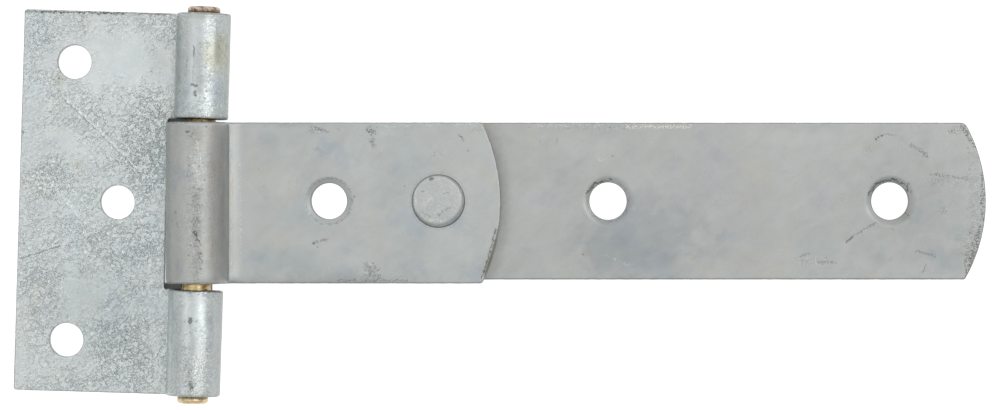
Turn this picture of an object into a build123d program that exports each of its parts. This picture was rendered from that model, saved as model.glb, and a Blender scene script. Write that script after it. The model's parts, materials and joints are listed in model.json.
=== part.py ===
"""Tee hinge: a rolled leaf on a brass pin, and a long strap riveted to its own knuckle plate.

X runs from the pin along the strap, Y along the pin, Z out of the face. The hinge lies on its
mounting plane, Z = 0. The origin is on that plane, under the middle of the pin, on the centreline
of the strap.
"""

import os
from math import asin, atan2, cos, degrees, hypot, radians, sin, sqrt, tan

from build123d import *

# Long strap: a flat bar with an arched tip, one corner of it worn round.
strap_width = 50.0
strap_thickness = 4.0
strap_reach = 250.0
tip_radius = 50.0
worn_corner_radius = 2.5

# The sheared edges of the straps are rounded on the face side.
edge_round = 0.5

# Knuckle plate: the strip that is rolled round the pin and laps over the strap.
# It is a little wider than the strap: their upper edges are flush, the lower one stands out.
# Its S-bend is a wide ramp up from the lap, then a tight crease at the foot of the barrel.
plate_overhang = 1.2
plate_thickness = 3.4
plate_reach = 95.8
plate_end_radius = 58.0
ramp_radius = 10.0
ramp_slope = 27.0
crease_radius = 1.0
curl_end_angle = -40.0
heel_gap = 0.6

# Leaf: a sheet with two knuckles rolled from it, and a notch between them.
leaf_height = 121.2
leaf_width = 57.5
leaf_thickness = 4.0
leaf_corner_radius = 1.0
roll_end_gap = 0.15
upper_gap = 0.8
lower_gap = 1.9
notch_clearance = 0.12

# Pin: a straight shank, its ends peened over outside the leaf's knuckles.
pin_diameter = 9.4
pin_fit = 0.05
peen_fit = 0.05
upper_peen_diameter = 10.6
upper_peen_height = 2.2
lower_peen_diameter = 10.0
lower_peen_height = 2.4
peen_round = 0.8

# How the strap's slack knuckle lies on the pin: risen and slipped sideways, the strap hanging
# down by the droop. The play is what is left at the tightest place. A droop of 0 is square.
knuckle_rise = 1.29
knuckle_slip = 0.4
knuckle_play = 0.18
droop = 1.7

# Plain punched holes of the leaf. The outer ones keep one distance from both edges.
leaf_hole_diameter = 10.8
leaf_hole_edge = 16.4
middle_hole_web = 15.65

# Holes of the strap, each with a shallow dished rim. The first goes through the lap.
lap_hole_diameter = 11.5
strap_hole_diameter = 11.9
dish_width = 1.7
dish_depth = 0.8
lap_hole_at = 41.2
tip_hole_edge = 30.5
middle_hole_step = -0.5

# Rivet: pan head in front, tail closed flush in a countersink at the back.
rivet_edge = 19.9
shank_diameter = 8.0
tail_diameter = 12.0
rivet_fit = 0.05
head_diameter = 17.0
head_height = 1.3
head_round = 0.7

# Sizes that follow from those above.
pin_radius = pin_diameter / 2
leaf_bore = pin_radius + pin_fit
leaf_barrel = leaf_bore + leaf_thickness
pin_height = leaf_barrel
plate_width = strap_width + plate_overhang
plate_middle = -plate_overhang / 2
lap_height = strap_thickness + plate_thickness
askew = knuckle_slip + (plate_width / 2 - plate_middle) * tan(radians(droop))
knuckle_offset = hypot(knuckle_rise, askew)
plate_bore = pin_radius + knuckle_offset + knuckle_play
plate_barrel = plate_bore + plate_thickness
barrel_x = -knuckle_slip
barrel_z = pin_height + knuckle_rise
notch_top = strap_width / 2 + upper_gap
notch_bottom = plate_middle - plate_width / 2 - lower_gap
leaf_middle = (notch_top + notch_bottom) / 2
rivet_at = plate_reach - rivet_edge
tip_hole_at = strap_reach - tip_hole_edge
middle_hole_at = (lap_hole_at + tip_hole_at) / 2 + middle_hole_step
dish_angle = 2 * degrees(atan2(dish_width, dish_depth))

# The leaf and the pin are turned by the droop, about the line that rises from the origin.
leaf_plane = Plane.XY.rotated((0, 0, -droop))
leaf_section = Plane(origin=(0, 0, 0), x_dir=leaf_plane.x_dir, z_dir=-leaf_plane.y_dir)
leaf_section = leaf_section.offset(-leaf_middle)
pin_plane = leaf_plane.offset(pin_height)


def notch_depth(y):
    """How far behind the pin's line the notch is cut at y, to let the askew knuckle swing past."""
    swing_reach = plate_barrel + hypot(knuckle_rise, knuckle_slip + y * tan(radians(droop)))
    return sqrt((swing_reach + notch_clearance) ** 2 - (pin_height - leaf_thickness) ** 2)


def arched_strip(heel, reach, width, end_radius, middle=0.0):
    """Plan of a strip that runs from its square heel to an arched end."""
    shoulder = reach - end_radius + sqrt(end_radius**2 - (width / 2) ** 2)
    low = middle - width / 2
    high = middle + width / 2
    with BuildSketch() as plan:
        with BuildLine():
            Polyline((shoulder, low), (heel, low), (heel, high), (shoulder, high))
            ThreePointArc((shoulder, high), (reach, middle), (shoulder, low))
        make_face()
    return plan.sketch


# Leaf. Section seen along the pin: flat back, rolled forward over the pin and down to its face.
roll_end_angle = 180 + degrees(asin((pin_height - leaf_thickness - roll_end_gap) / leaf_barrel))
with BuildPart() as leaf:
    with BuildSketch(leaf_section):
        with BuildLine():
            back = Line((-leaf_width, 0), (0, 0))
            outside = CenterArc((0, pin_height), leaf_barrel, -90, roll_end_angle + 90)
            inside = CenterArc((0, pin_height), leaf_bore, -90, roll_end_angle + 90)
            Line(outside @ 1, inside @ 1)
            face = Line(inside @ 0, (-leaf_width, leaf_thickness))
            Line(face @ 1, back @ 0)
        make_face()
    extrude(amount=leaf_height / 2, both=True)
    # The notch lets the strap's knuckle in and past the sheet through its whole swing.
    with BuildSketch(leaf_plane.offset(-leaf_thickness)):
        with BuildLine():
            Polyline(
                (2 * leaf_barrel, notch_bottom),
                (2 * leaf_barrel, notch_top),
                (-notch_depth(notch_top), notch_top),
                (-notch_depth(notch_bottom), notch_bottom),
                close=True,
            )
        make_face()
    extrude(amount=2 * leaf_thickness + 2 * leaf_barrel, mode=Mode.SUBTRACT)
    free_corners = leaf.edges().filter_by(Axis.Z).group_by(Axis((0, 0, 0), leaf_plane.x_dir))[0]
    fillet(free_corners, leaf_corner_radius)
    hole_row = leaf_hole_edge - leaf_width
    hole_rise = leaf_height / 2 - leaf_hole_edge
    middle_hole = -notch_depth(leaf_middle) - middle_hole_web
    with BuildSketch(leaf_plane):
        with Locations(
            (hole_row, leaf_middle + hole_rise),
            (hole_row, leaf_middle - hole_rise),
            (middle_hole, leaf_middle),
        ):
            Circle(leaf_hole_diameter / 2)
    extrude(amount=leaf_thickness, mode=Mode.SUBTRACT)

# Pin. Half its section, turned about the pin's own line.
upper_end = leaf_middle + leaf_height / 2 + peen_fit
lower_end = leaf_middle - leaf_height / 2 - peen_fit
with BuildPart() as pin:
    with BuildSketch(pin_plane):
        with BuildLine():
            Polyline(
                (0, lower_end - lower_peen_height),
                (lower_peen_diameter / 2, lower_end - lower_peen_height),
                (lower_peen_diameter / 2, lower_end),
                (pin_radius, lower_end),
                (pin_radius, upper_end),
                (upper_peen_diameter / 2, upper_end),
                (upper_peen_diameter / 2, upper_end + upper_peen_height),
                (0, upper_end + upper_peen_height),
                close=True,
            )
        make_face()
    pin_line = Axis(pin_plane.origin, pin_plane.y_dir)
    revolve(axis=pin_line)
    rims = pin.edges().filter_by(GeomType.CIRCLE).sort_by(pin_line)
    fillet([rims[0], rims[-1]], peen_round)

# Knuckle plate. Section: flat lap, S-bend up to the barrel, round the pin and back to the curl end.
# The crease touches both the barrel and the ramp, whose centre is straight above the lap's end.
crease_z = lap_height + ramp_radius - (ramp_radius - crease_radius) * cos(radians(ramp_slope))
crease_x = barrel_x + sqrt((plate_barrel + crease_radius) ** 2 - (crease_z - barrel_z) ** 2)
ramp_x = crease_x + (ramp_radius - crease_radius) * sin(radians(ramp_slope))
crease_angle = degrees(atan2(crease_z - barrel_z, crease_x - barrel_x))
crease_turn = 90 - ramp_slope - crease_angle
with BuildPart() as knuckle_plate:
    with BuildSketch(Plane.XZ.offset(-plate_middle)):
        with BuildLine():
            roll = 360 + curl_end_angle - crease_angle
            outside = CenterArc((barrel_x, barrel_z), plate_barrel, crease_angle, roll)
            inside = CenterArc((barrel_x, barrel_z), plate_bore, crease_angle, roll)
            Line(outside @ 1, inside @ 1)
            crease, crease_back = (
                CenterArc((crease_x, crease_z), radius, 180 + crease_angle, crease_turn)
                for radius in (crease_radius, crease_radius + plate_thickness)
            )
            ramp, ramp_back = (
                CenterArc((ramp_x, lap_height + ramp_radius), radius, 270 - ramp_slope, ramp_slope)
                for radius in (ramp_radius, ramp_radius + plate_thickness)
            )
            front = Line(ramp @ 1, (plate_reach, lap_height))
            back = Line(ramp_back @ 1, (plate_reach, strap_thickness))
            Line(front @ 1, back @ 1)
        make_face()
    extrude(amount=plate_width / 2, both=True)
    with BuildSketch():
        behind = barrel_x - 2 * plate_barrel
        add(arched_strip(behind, plate_reach, plate_width, plate_end_radius, plate_middle))
    extrude(amount=barrel_z + 2 * plate_barrel, both=True, mode=Mode.INTERSECT)
    lap_face = knuckle_plate.faces().filter_by(Plane.XY).sort_by(Axis.Z)[-1]
    fillet(lap_face.outer_wire().edges().filter_by(Axis.Y, reverse=True), edge_round)
    with Locations((lap_hole_at, 0, lap_height)):
        CounterSinkHole(
            lap_hole_diameter / 2, lap_hole_diameter / 2 + dish_width, lap_height, dish_angle
        )
    with Locations((rivet_at, 0, lap_height)):
        Hole(shank_diameter / 2 + rivet_fit, lap_height)

# Long strap. Its heel stops short of the barrel's curl, behind the lap.
heel = barrel_x + sqrt(plate_barrel**2 - (barrel_z - strap_thickness) ** 2) + heel_gap
with BuildPart() as long_strap:
    with BuildSketch():
        add(arched_strip(heel, strap_reach, strap_width, tip_radius))
    extrude(amount=strap_thickness)
    tip_corners = long_strap.edges().filter_by(Axis.Z).group_by(Axis.X)[-1]
    fillet(tip_corners.sort_by(Axis.Y)[-1], worn_corner_radius)
    front_face = long_strap.faces().sort_by(Axis.Z)[-1]
    fillet(front_face.outer_wire().edges(), edge_round)
    with Locations((lap_hole_at, 0, strap_thickness)):
        Hole(lap_hole_diameter / 2)
    with Locations((middle_hole_at, 0, strap_thickness), (tip_hole_at, 0, strap_thickness)):
        CounterSinkHole(
            strap_hole_diameter / 2,
            strap_hole_diameter / 2 + dish_width,
            counter_sink_angle=dish_angle,
        )
    with Locations(Location((rivet_at, 0, 0), (180, 0, 0))):
        CounterSinkHole(
            shank_diameter / 2 + rivet_fit, tail_diameter / 2 + rivet_fit, counter_sink_angle=90
        )

# Rivet. Half its section, turned about its own line.
tail_depth = (tail_diameter - shank_diameter) / 2
head_top = lap_height + head_height
with BuildPart() as rivet:
    with BuildSketch(Plane.XZ.shift_origin((rivet_at, 0, 0))):
        with BuildLine():
            Polyline(
                (0, 0),
                (tail_diameter / 2, 0),
                (shank_diameter / 2, tail_depth),
                (shank_diameter / 2, lap_height),
                (head_diameter / 2, lap_height),
                (head_diameter / 2, head_top),
                (0, head_top),
                close=True,
            )
        make_face()
    revolve(axis=Axis((rivet_at, 0, 0), (0, 0, 1)))
    rim = rivet.edges().filter_by(GeomType.CIRCLE).group_by(Axis.Z)[-1]
    fillet(rim, head_round)

leaf.part.label = "leaf"
pin.part.label = "pin"
knuckle_plate.part.label = "knuckle_plate"
long_strap.part.label = "long_strap"
rivet.part.label = "rivet"

os.makedirs("parts", exist_ok=True)
export_step(leaf.part, "parts/leaf.step")
export_step(pin.part, "parts/pin.step")
export_step(knuckle_plate.part, "parts/knuckle_plate.step")
export_step(long_strap.part, "parts/long_strap.step")
export_step(rivet.part, "parts/rivet.step")
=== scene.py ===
"""Tee hinge, dressed: rolled and lapped sheets, pin and rivet, in zinc and brass on a white table.

Lengths are in millimetres, and MM turns them into metres where a mesh, a lamp or the camera is
made. X runs from the pin along the strap, Y along the pin, Z out of the face. The leaf and the pin
are turned by the droop, about the line that rises from the origin.
"""

import json
import random
from math import atan2, ceil, cos, hypot, pi, radians, sin, sqrt, tan

import bpy
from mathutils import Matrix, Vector, kdtree, noise
from mathutils.geometry import delaunay_2d_cdt


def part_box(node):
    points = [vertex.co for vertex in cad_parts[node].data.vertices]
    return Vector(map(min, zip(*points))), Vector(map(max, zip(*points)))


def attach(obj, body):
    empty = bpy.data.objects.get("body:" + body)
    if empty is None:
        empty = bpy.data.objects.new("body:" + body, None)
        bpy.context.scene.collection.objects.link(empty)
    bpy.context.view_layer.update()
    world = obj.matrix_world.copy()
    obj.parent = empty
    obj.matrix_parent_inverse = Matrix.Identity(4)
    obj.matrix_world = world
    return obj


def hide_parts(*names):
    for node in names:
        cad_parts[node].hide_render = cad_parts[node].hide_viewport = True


MM = 0.001
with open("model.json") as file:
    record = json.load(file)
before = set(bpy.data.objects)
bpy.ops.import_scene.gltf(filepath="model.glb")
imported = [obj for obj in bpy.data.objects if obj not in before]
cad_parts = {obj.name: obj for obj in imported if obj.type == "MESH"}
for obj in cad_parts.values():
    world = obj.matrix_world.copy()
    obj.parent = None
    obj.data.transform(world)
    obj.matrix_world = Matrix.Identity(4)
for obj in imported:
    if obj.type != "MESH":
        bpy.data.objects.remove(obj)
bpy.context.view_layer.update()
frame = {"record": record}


def corners(node):
    """Lowest and highest corner of a solid, in millimetres."""
    low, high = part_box(node)
    return low / MM, high / MM


def hole(name):
    """Centre and radius of one of the hinge's holes."""
    mount = next(m for m in frame["record"]["mounts"] if m["name"] == name)
    return Vector(mount["pos_m"][:2]) / MM, mount["dims"]["r_mm"]


# Long strap.
strap_low, strap_high = corners("long_strap")
strap_thickness = strap_high.z
tip_radius = 50.0
worn_corner_radius = 2.5
strap_corner_radius = 1.0

# Knuckle plate: the lap, its S-bend (a wide ramp, then a tight crease) and the roll round the pin.
plate_low, plate_high = corners("knuckle_plate")
plate_thickness = 3.4
heel_corner_radius = 1.6
plate_end_radius = 58.0
plate_corner_radius = 1.2
ramp_radius = 10.0
ramp_slope = radians(27)
crease_radius = 0.5
plate_barrel = (plate_high.z - plate_low.z) / 2
barrel_x = plate_low.x + plate_barrel
barrel_z = plate_low.z + plate_barrel
curl_end_angle = radians(-40)
lap_height = strap_thickness + plate_thickness

# Leaf: its sheet, the notch and the two rolled knuckles.
leaf_thickness = 4.0
leaf_width = 57.5
leaf_top = 59.45
leaf_bottom = -61.75
leaf_corner_radius = 1.0
notch_top = 25.8
notch_bottom = -28.1
notch_clearance = 0.12
notch_corner_radius = 0.5
notch_round = 0.2
tongue_corner_radius = 1.4
leaf_barrel = corners("leaf")[1].z / 2
roll_end_angle = radians(211.7)
droop = radians(1.7)

# Pin, peened at both ends.
pin_radius = 4.7
pin_ends = (-64.2, -61.8, 59.5, 61.7)
upper_peen_radius = 5.3
lower_peen_radius = 5.0
peen_round = 1.5
upper_peen_drop = 1.2
lower_peen_drop = 1.0

# Rivet: a flat pan head in front, the tail closed flush in its countersink at the back.
rivet_low, rivet_high = corners("rivet")
rivet_spot = Vector(((rivet_low.x + rivet_high.x) / 2, 0))
head_radius = (rivet_high.x - rivet_low.x) / 2
head_round = 0.7
head_bevel = 1.1
shank_radius = 4.0
shank_hole_radius = 4.05
tail_radius = 6.0

# Holes: the leaf's are punched plain, the strap's have a dished rim.
leaf_holes = ("leaf_hole_upper", "leaf_hole_middle", "leaf_hole_lower")
dish_width = 1.7
dish_depth = 0.8

# Rims of the sheets: rounder where a sheet is rolled, nearly sharp where another piece hides them.
face_round = 0.45
back_round = 0.3
rolled_round = 0.8
punched_round = 0.25
hidden_round = 0.1
rim_support = 0.35

# Shears bite this deep into an edge, in bites about this long.
strap_bite = 0.1
plate_bite = 0.12
leaf_bite = 0.1
bite_length = 2.1

# Steps between the points of a mesh, and how close two of them may lie.
outline_step = 0.6
arc_step = 0.5
corner_step = 0.3
notch_step = 0.2
grid_step = 1.3
roll_step = 0.45
crease_step = 0.25
closest = 0.32

# Pits: their depth as shares of their reach, the room they keep, and the rings of points round one.
pit_depths = (0.12, 0.24)
pit_margin = 0.9
pit_spacing = 1.2
pit_rings = ((0.4, 5), (0.75, 8), (1.1, 10))
pit_clearance = 1.25
pit_cell = 10

# Waves that leave a face uneven, each with its depth, its size and its seed.
strap_waves = ((0.1, 15, 1.3),)
plate_waves = ((0.1, 13, 2.7),)
rolled_plate_waves = ((0.16, 6.5, 8.7), (0.05, 2.4, 1.9))
leaf_waves = ((0.12, 11, 4.4), (0.03, 2.6, 9.4))
rolled_leaf_waves = ((0.2, 7, 6.4), (0.05, 2.2, 3.7))
rivet_waves = ((0.14, 2.4, 5.0), (0.08, 0.9, 3.0))
head_outline_waves = ((0.25, 0.7, 0.4),)
pin_waves = ((0.18, 2.2, 3.2),)


def on_leaf(x, y):
    """Where a point of the square leaf lies once the leaf has drooped."""
    return Vector((x * cos(droop) + y * sin(droop), y * cos(droop) - x * sin(droop)))


def off_leaf(place):
    """The square leaf's own point for a place on the drooped leaf."""
    return Vector((place.x * cos(droop) - place.y * sin(droop), place.y * cos(droop) + place.x * sin(droop)))


def unevenness(x, y, size, seed):
    """A smooth chance value from 0 to 1, which changes over about a size."""
    return 0.5 + 0.5 * noise.noise(Vector((x / size, y / size, seed)))


def waved(x, y, waves):
    """How deep a face lies at a point by all of its waves."""
    return sum(depth * unevenness(x, y, size, seed) for depth, size, seed in waves)


def eased(value, low, high):
    """A smooth step from 0 to 1 as the value goes from low to high."""
    share = min(1.0, max(0.0, (value - low) / (high - low)))
    return share * share * (3 - 2 * share)


# Outlines of the flat blanks


def arc(centre, radius, start, stop, step=arc_step):
    """Points along an arc, both of its ends among them."""
    count = max(2, ceil(abs(stop - start) * radius / step))
    turns = [start + (stop - start) * k / count for k in range(count + 1)]
    return [centre + radius * Vector((cos(turn), sin(turn))) for turn in turns]


def spread(points):
    """The closed outline with its long runs divided into even steps."""
    dense = []
    for here, after in zip(points, points[1:] + points[:1]):
        count = max(1, round((after - here).length / outline_step))
        dense += [here.lerp(after, k / count) for k in range(count)]
    return dense


def square_corner(corner, radius, quarter):
    """A quarter round inside a square corner, from the quarter's first direction."""
    start = quarter * pi / 2
    toward = Vector((cos(start + pi / 4), sin(start + pi / 4))) * radius * sqrt(2)
    return arc(corner - toward, radius, start, start + pi / 2, corner_step)


def arched_strip(heel, reach, low, high, end_radius, low_round, high_round):
    """Outline of a strip from its square heel to its arched end, its end corners rounded."""
    middle = (low + high) / 2
    centre = Vector((reach - end_radius, middle))
    turn, rounds = {}, {}
    for side, edge, radius in ((-1, low, low_round), (1, high, high_round)):
        rise = edge - side * radius - middle
        run = sqrt((end_radius - radius) ** 2 - rise**2)
        turn[side] = atan2(rise, run)
        rounds[side] = (centre + Vector((run, rise)), radius)
    points = square_corner(Vector((heel, low)), heel_corner_radius, 2)
    points += arc(*rounds[-1], -pi / 2, turn[-1], corner_step)
    points += arc(centre, end_radius, turn[-1], turn[1])[1:-1]
    points += arc(*rounds[1], turn[1], pi / 2, corner_step)
    points += square_corner(Vector((heel, high)), heel_corner_radius, 1)
    return spread(points)


def notch_depth(y):
    """How far behind the pin's line the notch is cut at y, to let the strap's knuckle swing past."""
    lean = hypot(barrel_z - leaf_barrel, y * tan(droop) - barrel_x)
    return sqrt((plate_barrel + lean + notch_clearance) ** 2 - (leaf_barrel - leaf_thickness) ** 2)


def notched_sheet():
    """Outline of the leaf's blank: the sheet, and two tongues that become its knuckles."""
    end = (roll_end_angle + pi / 2) * (leaf_barrel - leaf_thickness / 2)
    points = square_corner(Vector((-leaf_width, leaf_bottom)), leaf_corner_radius, 2)
    points += square_corner(Vector((end, leaf_bottom)), tongue_corner_radius, 3)
    points += square_corner(Vector((end, notch_bottom)), tongue_corner_radius, 0)
    inner = Vector((notch_corner_radius - notch_depth(notch_bottom), notch_bottom + notch_corner_radius))
    points += arc(inner, notch_corner_radius, -pi / 2, -pi, notch_step)
    inner = Vector((notch_corner_radius - notch_depth(notch_top), notch_top - notch_corner_radius))
    points += arc(inner, notch_corner_radius, pi, pi / 2, notch_step)
    points += square_corner(Vector((end, notch_top)), tongue_corner_radius, 3)
    points += square_corner(Vector((end, leaf_top)), tongue_corner_radius, 0)
    points += square_corner(Vector((-leaf_width, leaf_top)), leaf_corner_radius, 1)
    return spread(points)


def inward(points):
    """The step into the metal at each point of a loop that has the metal on its left."""
    sharpest = -0.2
    steps = []
    for before, here, after in zip(points[-1:] + points[:-1], points, points[1:] + points[:1]):
        first = (here - before).normalized()
        second = (after - here).normalized()
        left = Vector((-first.y - second.y, first.x + second.x))
        steps.append(left / (1 + max(first.dot(second), sharpest)))
    return steps


def sheared(points, bite):
    """The outline with its edge bitten unevenly into the metal, as shears leave it."""
    steps = inward(points)
    return [here + step * bite * unevenness(*here, bite_length, bite) for here, step in zip(points, steps)]


# Rims: how the edge of a sheet runs from its face to its back, as (inset, height, wear)


def plain_rim(thickness, face=face_round, back=back_round):
    """A rim with both its edges rounded."""
    quarter = [pi / 6 * k for k in range(4)]
    rim = [(face + rim_support, thickness, 0.0)]
    rim += [(face * (1 - sin(a)), thickness - face * (1 - cos(a)), sin(a)) for a in quarter]
    rim += [(back * (1 - cos(a)), back * (1 - sin(a)), cos(a)) for a in quarter]
    rim.append((back + rim_support, 0.0, 0.0))
    return rim


def dished_rim(thickness):
    """A rim that slopes down from the face into its hole."""
    lip, ease = 0.6, 0.06
    rim = [(dish_width + lip + rim_support, thickness, 0.0), (dish_width + lip, thickness, 0.0)]
    rim += [(dish_width + lip * share, thickness - ease * (1 - share), 0.0) for share in (0.6, 0.2)]
    rim += [(dish_width * k / 4, thickness - ease - dish_depth * (1 - k / 4), 0.0) for k in (3, 2, 1)]
    rim += [(0.1, thickness - dish_depth, 0.3), (0.0, thickness - dish_depth - 2 * ease, 0.5)]
    rim += [(0.0, back_round, 0.2), (back_round / 3, back_round / 3, 0.6), (back_round, 0.0, 0.4)]
    rim.append((back_round + rim_support, 0.0, 0.0))
    return rim


def rivet_seat():
    """Rim of the rivet's hole in the strap: straight from the face, then flared at the back."""
    flare = tail_radius - shank_radius
    return [
        (rim_support, strap_thickness, 0.0),
        (0.0, strap_thickness, 0.2),
        (0.0, flare, 0.2),
        (flare, 0.0, 0.2),
        (flare + rim_support, 0.0, 0.0),
    ]


def round_hole(centre, radius, rim):
    """A hole's loop, with the metal on its left, and its rim."""
    points = arc(centre, radius, 2 * pi, 0)[:-1]
    return points, lambda point: rim


# Meshes of the sheets


def grid(low, high, step_at, dents):
    """Inner points of a blank: staggered rows, closer where it is folded, and rings round its dents."""
    points = []
    u, odd = low.x, False
    while u < high.x:
        rows = ceil((high.y - low.y) / grid_step)
        shift = 0.5 if odd else 0.0
        points += [Vector((u, low.y + (k + shift) * grid_step)) for k in range(rows)]
        u += step_at(u)
        odd = not odd
    clear = [p for p in points if all((p - d[0]).length > pit_clearance * d[1] for d in dents)]
    for centre, reach, _ in dents:
        clear.append(centre)
        for share, count in pit_rings:
            clear += arc(centre, reach * share, 0, 2 * pi, 2 * pi * reach * share / count)[:-1]
    return clear


def filled(ring_verts, loops, inner, flip):
    """Triangles that fill one side of a sheet, between its rims, with inner points added."""
    flat = [Vector(v[:2]) for v in ring_verts]
    tree = kdtree.KDTree(len(flat))
    for index, point in enumerate(flat):
        tree.insert(point.to_3d(), index)
    tree.balance()
    kept = [p for p in inner if tree.find(p.to_3d())[2] > closest]
    edges, holes, start = [], [], 0
    for count in loops:
        edges += [(start + k, start + (k + 1) % count) for k in range(count)]
        ring = flat[start : start + count]
        centre = sum(ring, Vector((0, 0))) / count
        holes.append((centre, min((p - centre).length for p in ring)))
        start += count
    tolerance = 1e-5
    points, _, triangles, sources, _, _ = delaunay_2d_cdt(flat + kept, edges, [], 1, tolerance)
    order = [source[0] if source else None for source in sources]
    chosen = []
    for triangle in triangles:
        middle = sum((points[k] for k in triangle), Vector((0, 0))) / 3
        if any((middle - centre).length < reach for centre, reach in holes[1:]):
            continue
        turned_over = list(reversed(triangle)) if flip else triangle
        chosen.append([order[k] for k in turned_over])
    return kept, chosen


def folded_sheet(name, loops, area, step_at, dents, back_dents, relief, fold):
    """Mesh of a sheet: rims round its loops, both sides filled, dented, and folded into place.

    The relief gives, for a point (u, t, n) of the blank, its new n and how dirty it is there.
    """
    verts, wear, faces = [], [], []
    front, back, counts = [], [], []
    for points, rim_at in loops:
        start, count = len(verts), len(points)
        rims = [rim_at(point) for point in points]
        steps = inward(points)
        for level in range(len(rims[0])):
            for point, step, rim in zip(points, steps, rims):
                inset, height, worn = rim[level]
                place = point + step * inset
                verts.append((place.x, place.y, height))
                wear.append(worn)
        for level in range(len(rims[0]) - 1):
            upper = start + level * count
            for k in range(count):
                after = (k + 1) % count
                faces.append((upper + k, upper + count + k, upper + count + after, upper + after))
        front += range(start, start + count)
        back += range(len(verts) - count, len(verts))
        counts.append(count)
    top = verts[front[0]][2]
    for ring, height, flip, marks in ((front, top, False, dents), (back, 0.0, True, back_dents)):
        kept, triangles = filled([verts[k] for k in ring], counts, grid(*area, step_at, marks), flip)
        first = len(verts)
        verts += [(p.x, p.y, height) for p in kept]
        wear += [0.0] * len(kept)
        numbers = list(ring) + list(range(first, len(verts)))
        faces += [[numbers[k] for k in triangle] for triangle in triangles]
    reliefs = [relief(*vert) for vert in verts]
    placed = [fold(u, t, n) for (u, t, _), (n, _) in zip(verts, reliefs)]
    return as_piece(name, placed, faces, wear, [dirt for _, dirt in reliefs])


def as_piece(name, verts, faces, wear, dirt):
    """A smooth-shaded piece from points in millimetres, which knows its rims and its dirty pits."""
    mesh = bpy.data.meshes.new(name)
    used = sorted({k for face in faces for k in face})
    number = {k: i for i, k in enumerate(used)}
    mesh.from_pydata(
        [Vector(verts[k]) * MM for k in used], [], [[number[k] for k in face] for face in faces]
    )
    for label, values in (("rim", wear), ("dirt", dirt)):
        mesh.attributes.new(label, "FLOAT", "POINT").data.foreach_set("value", [values[k] for k in used])
    mesh.shade_smooth()
    mesh.validate()
    piece = bpy.data.objects.new(name, mesh)
    bpy.context.scene.collection.objects.link(piece)
    return piece


def near(dents):
    """The dents by the cell of the face they are in, so that each point looks only at its own."""
    cells = {}

    def cell(place):
        return int(place // pit_cell)

    for dent in dents:
        centre, reach, _ = dent
        for i in range(cell(centre.x - reach), cell(centre.x + reach) + 1):
            for j in range(cell(centre.y - reach), cell(centre.y + reach) + 1):
                cells.setdefault((i, j), []).append(dent)
    return lambda u, t: cells.get((cell(u), cell(t)), ())


def dented(u, t, dents):
    """How deep the pits are at a point, and how dirty."""
    depth, dirt = 0.0, 0.0
    for centre, reach, deep in dents:
        away = hypot(u - centre.x, t - centre.y) / reach
        if away < 1:
            depth += deep * (1 - away**2) ** 2
            dirt = max(dirt, 1 - away**2)
    return depth, dirt


def pits(seed, fields, loops):
    """Pits scattered over fields of a face, clear of each other and of the sheet's own edges."""
    draw = random.Random(seed)
    outline = [point for points, _ in loops for point in points]
    edges = kdtree.KDTree(len(outline))
    for index, point in enumerate(outline):
        edges.insert(point.to_3d(), index)
    edges.balance()
    found = []
    for low, high, count, sizes in fields.values():
        for _ in range(count):
            place = Vector((draw.uniform(low[0], high[0]), draw.uniform(low[1], high[1])))
            reach = draw.uniform(*sizes)
            clear = edges.find(place.to_3d())[2] > reach + pit_margin
            if clear and all((place - p).length > pit_spacing * (reach + r) for p, r, _ in found):
                found.append((place, reach, reach * draw.uniform(*pit_depths)))
    return found


def at(x, y, reach):
    """A field for a single pit at a known place."""
    return (x, y), (x, y), 1, (reach, reach)


# Long strap

# Each field of pits has its lowest and highest corner, how many pits are tried, and their reach.
strap_pits = {
    "pitted rim of the tip, upper": ((243.5, 6), (248, 23), 10, (0.18, 0.36)),
    "pitted rim of the tip, lower": ((243, -23), (249, -6), 16, (0.18, 0.4)),
    "rough corner above the tip": ((237, 21), (242, 24), 6, (0.15, 0.32)),
    "small pits along the upper edge": ((104, 22.6), (146, 24), 14, (0.15, 0.3)),
    "pits left of the arc above the tip hole": ((210.6, 15.2), (213.6, 17.2), 4, (0.15, 0.28)),
    "pit beside the tip hole": at(225.6, 5.4, 0.5),
    "pit under that": at(226.2, 2.9, 0.45),
    "pits below the tip hole": ((219.8, -9.8), (221.2, -8.6), 2, (0.2, 0.35)),
    "pits under the curved scratch": ((189, -20.2), (200, -17.8), 5, (0.14, 0.3)),
    "pit at the middle hole's lower left": at(121.8, -17.0, 0.4),
    "pit above the middle hole": at(131.2, 14.3, 0.4),
    "pit right of the middle hole": at(135.9, 4.3, 0.35),
    "pit left of the middle hole": at(108.2, 18.9, 0.25),
    "pit left of the curved scratch": at(205.6, -13.2, 0.4),
    "scattered": ((98, -23), (240, 23), 24, (0.1, 0.2)),
}


def make_long_strap():
    """The flat bar: arched tip with one worn corner, two dished holes, the lap's hole and rivet's."""
    outline = arched_strip(
        heel=strap_low.x,
        reach=strap_high.x,
        low=strap_low.y,
        high=strap_high.y,
        end_radius=tip_radius,
        low_round=strap_corner_radius,
        high_round=worn_corner_radius,
    )
    loops = [(sheared(outline, strap_bite), lambda point: plain_rim(strap_thickness))]
    for name in ("strap_hole_middle", "strap_hole_tip"):
        loops.append(round_hole(*hole(name), dished_rim(strap_thickness)))
    loops.append(round_hole(*hole("strap_hole_near"), plain_rim(strap_thickness, hidden_round)))
    loops.append(round_hole(rivet_spot, shank_hole_radius, rivet_seat()))
    dents = pits(3, strap_pits, loops)
    lookup = near(dents)

    def relief(u, t, n):
        depth, dirt = dented(u, t, lookup(u, t))
        depth += waved(u, t, strap_waves)
        return n - depth * n / strap_thickness, dirt * eased(n, 0, strap_thickness)

    return folded_sheet(
        "drilled_strap",
        loops,
        area=(strap_low.to_2d(), strap_high.to_2d()),
        step_at=lambda u: grid_step,
        dents=dents,
        back_dents=(),
        relief=relief,
        fold=lambda u, t, n: (u, t, n),
    )


# Knuckle plate

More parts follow.
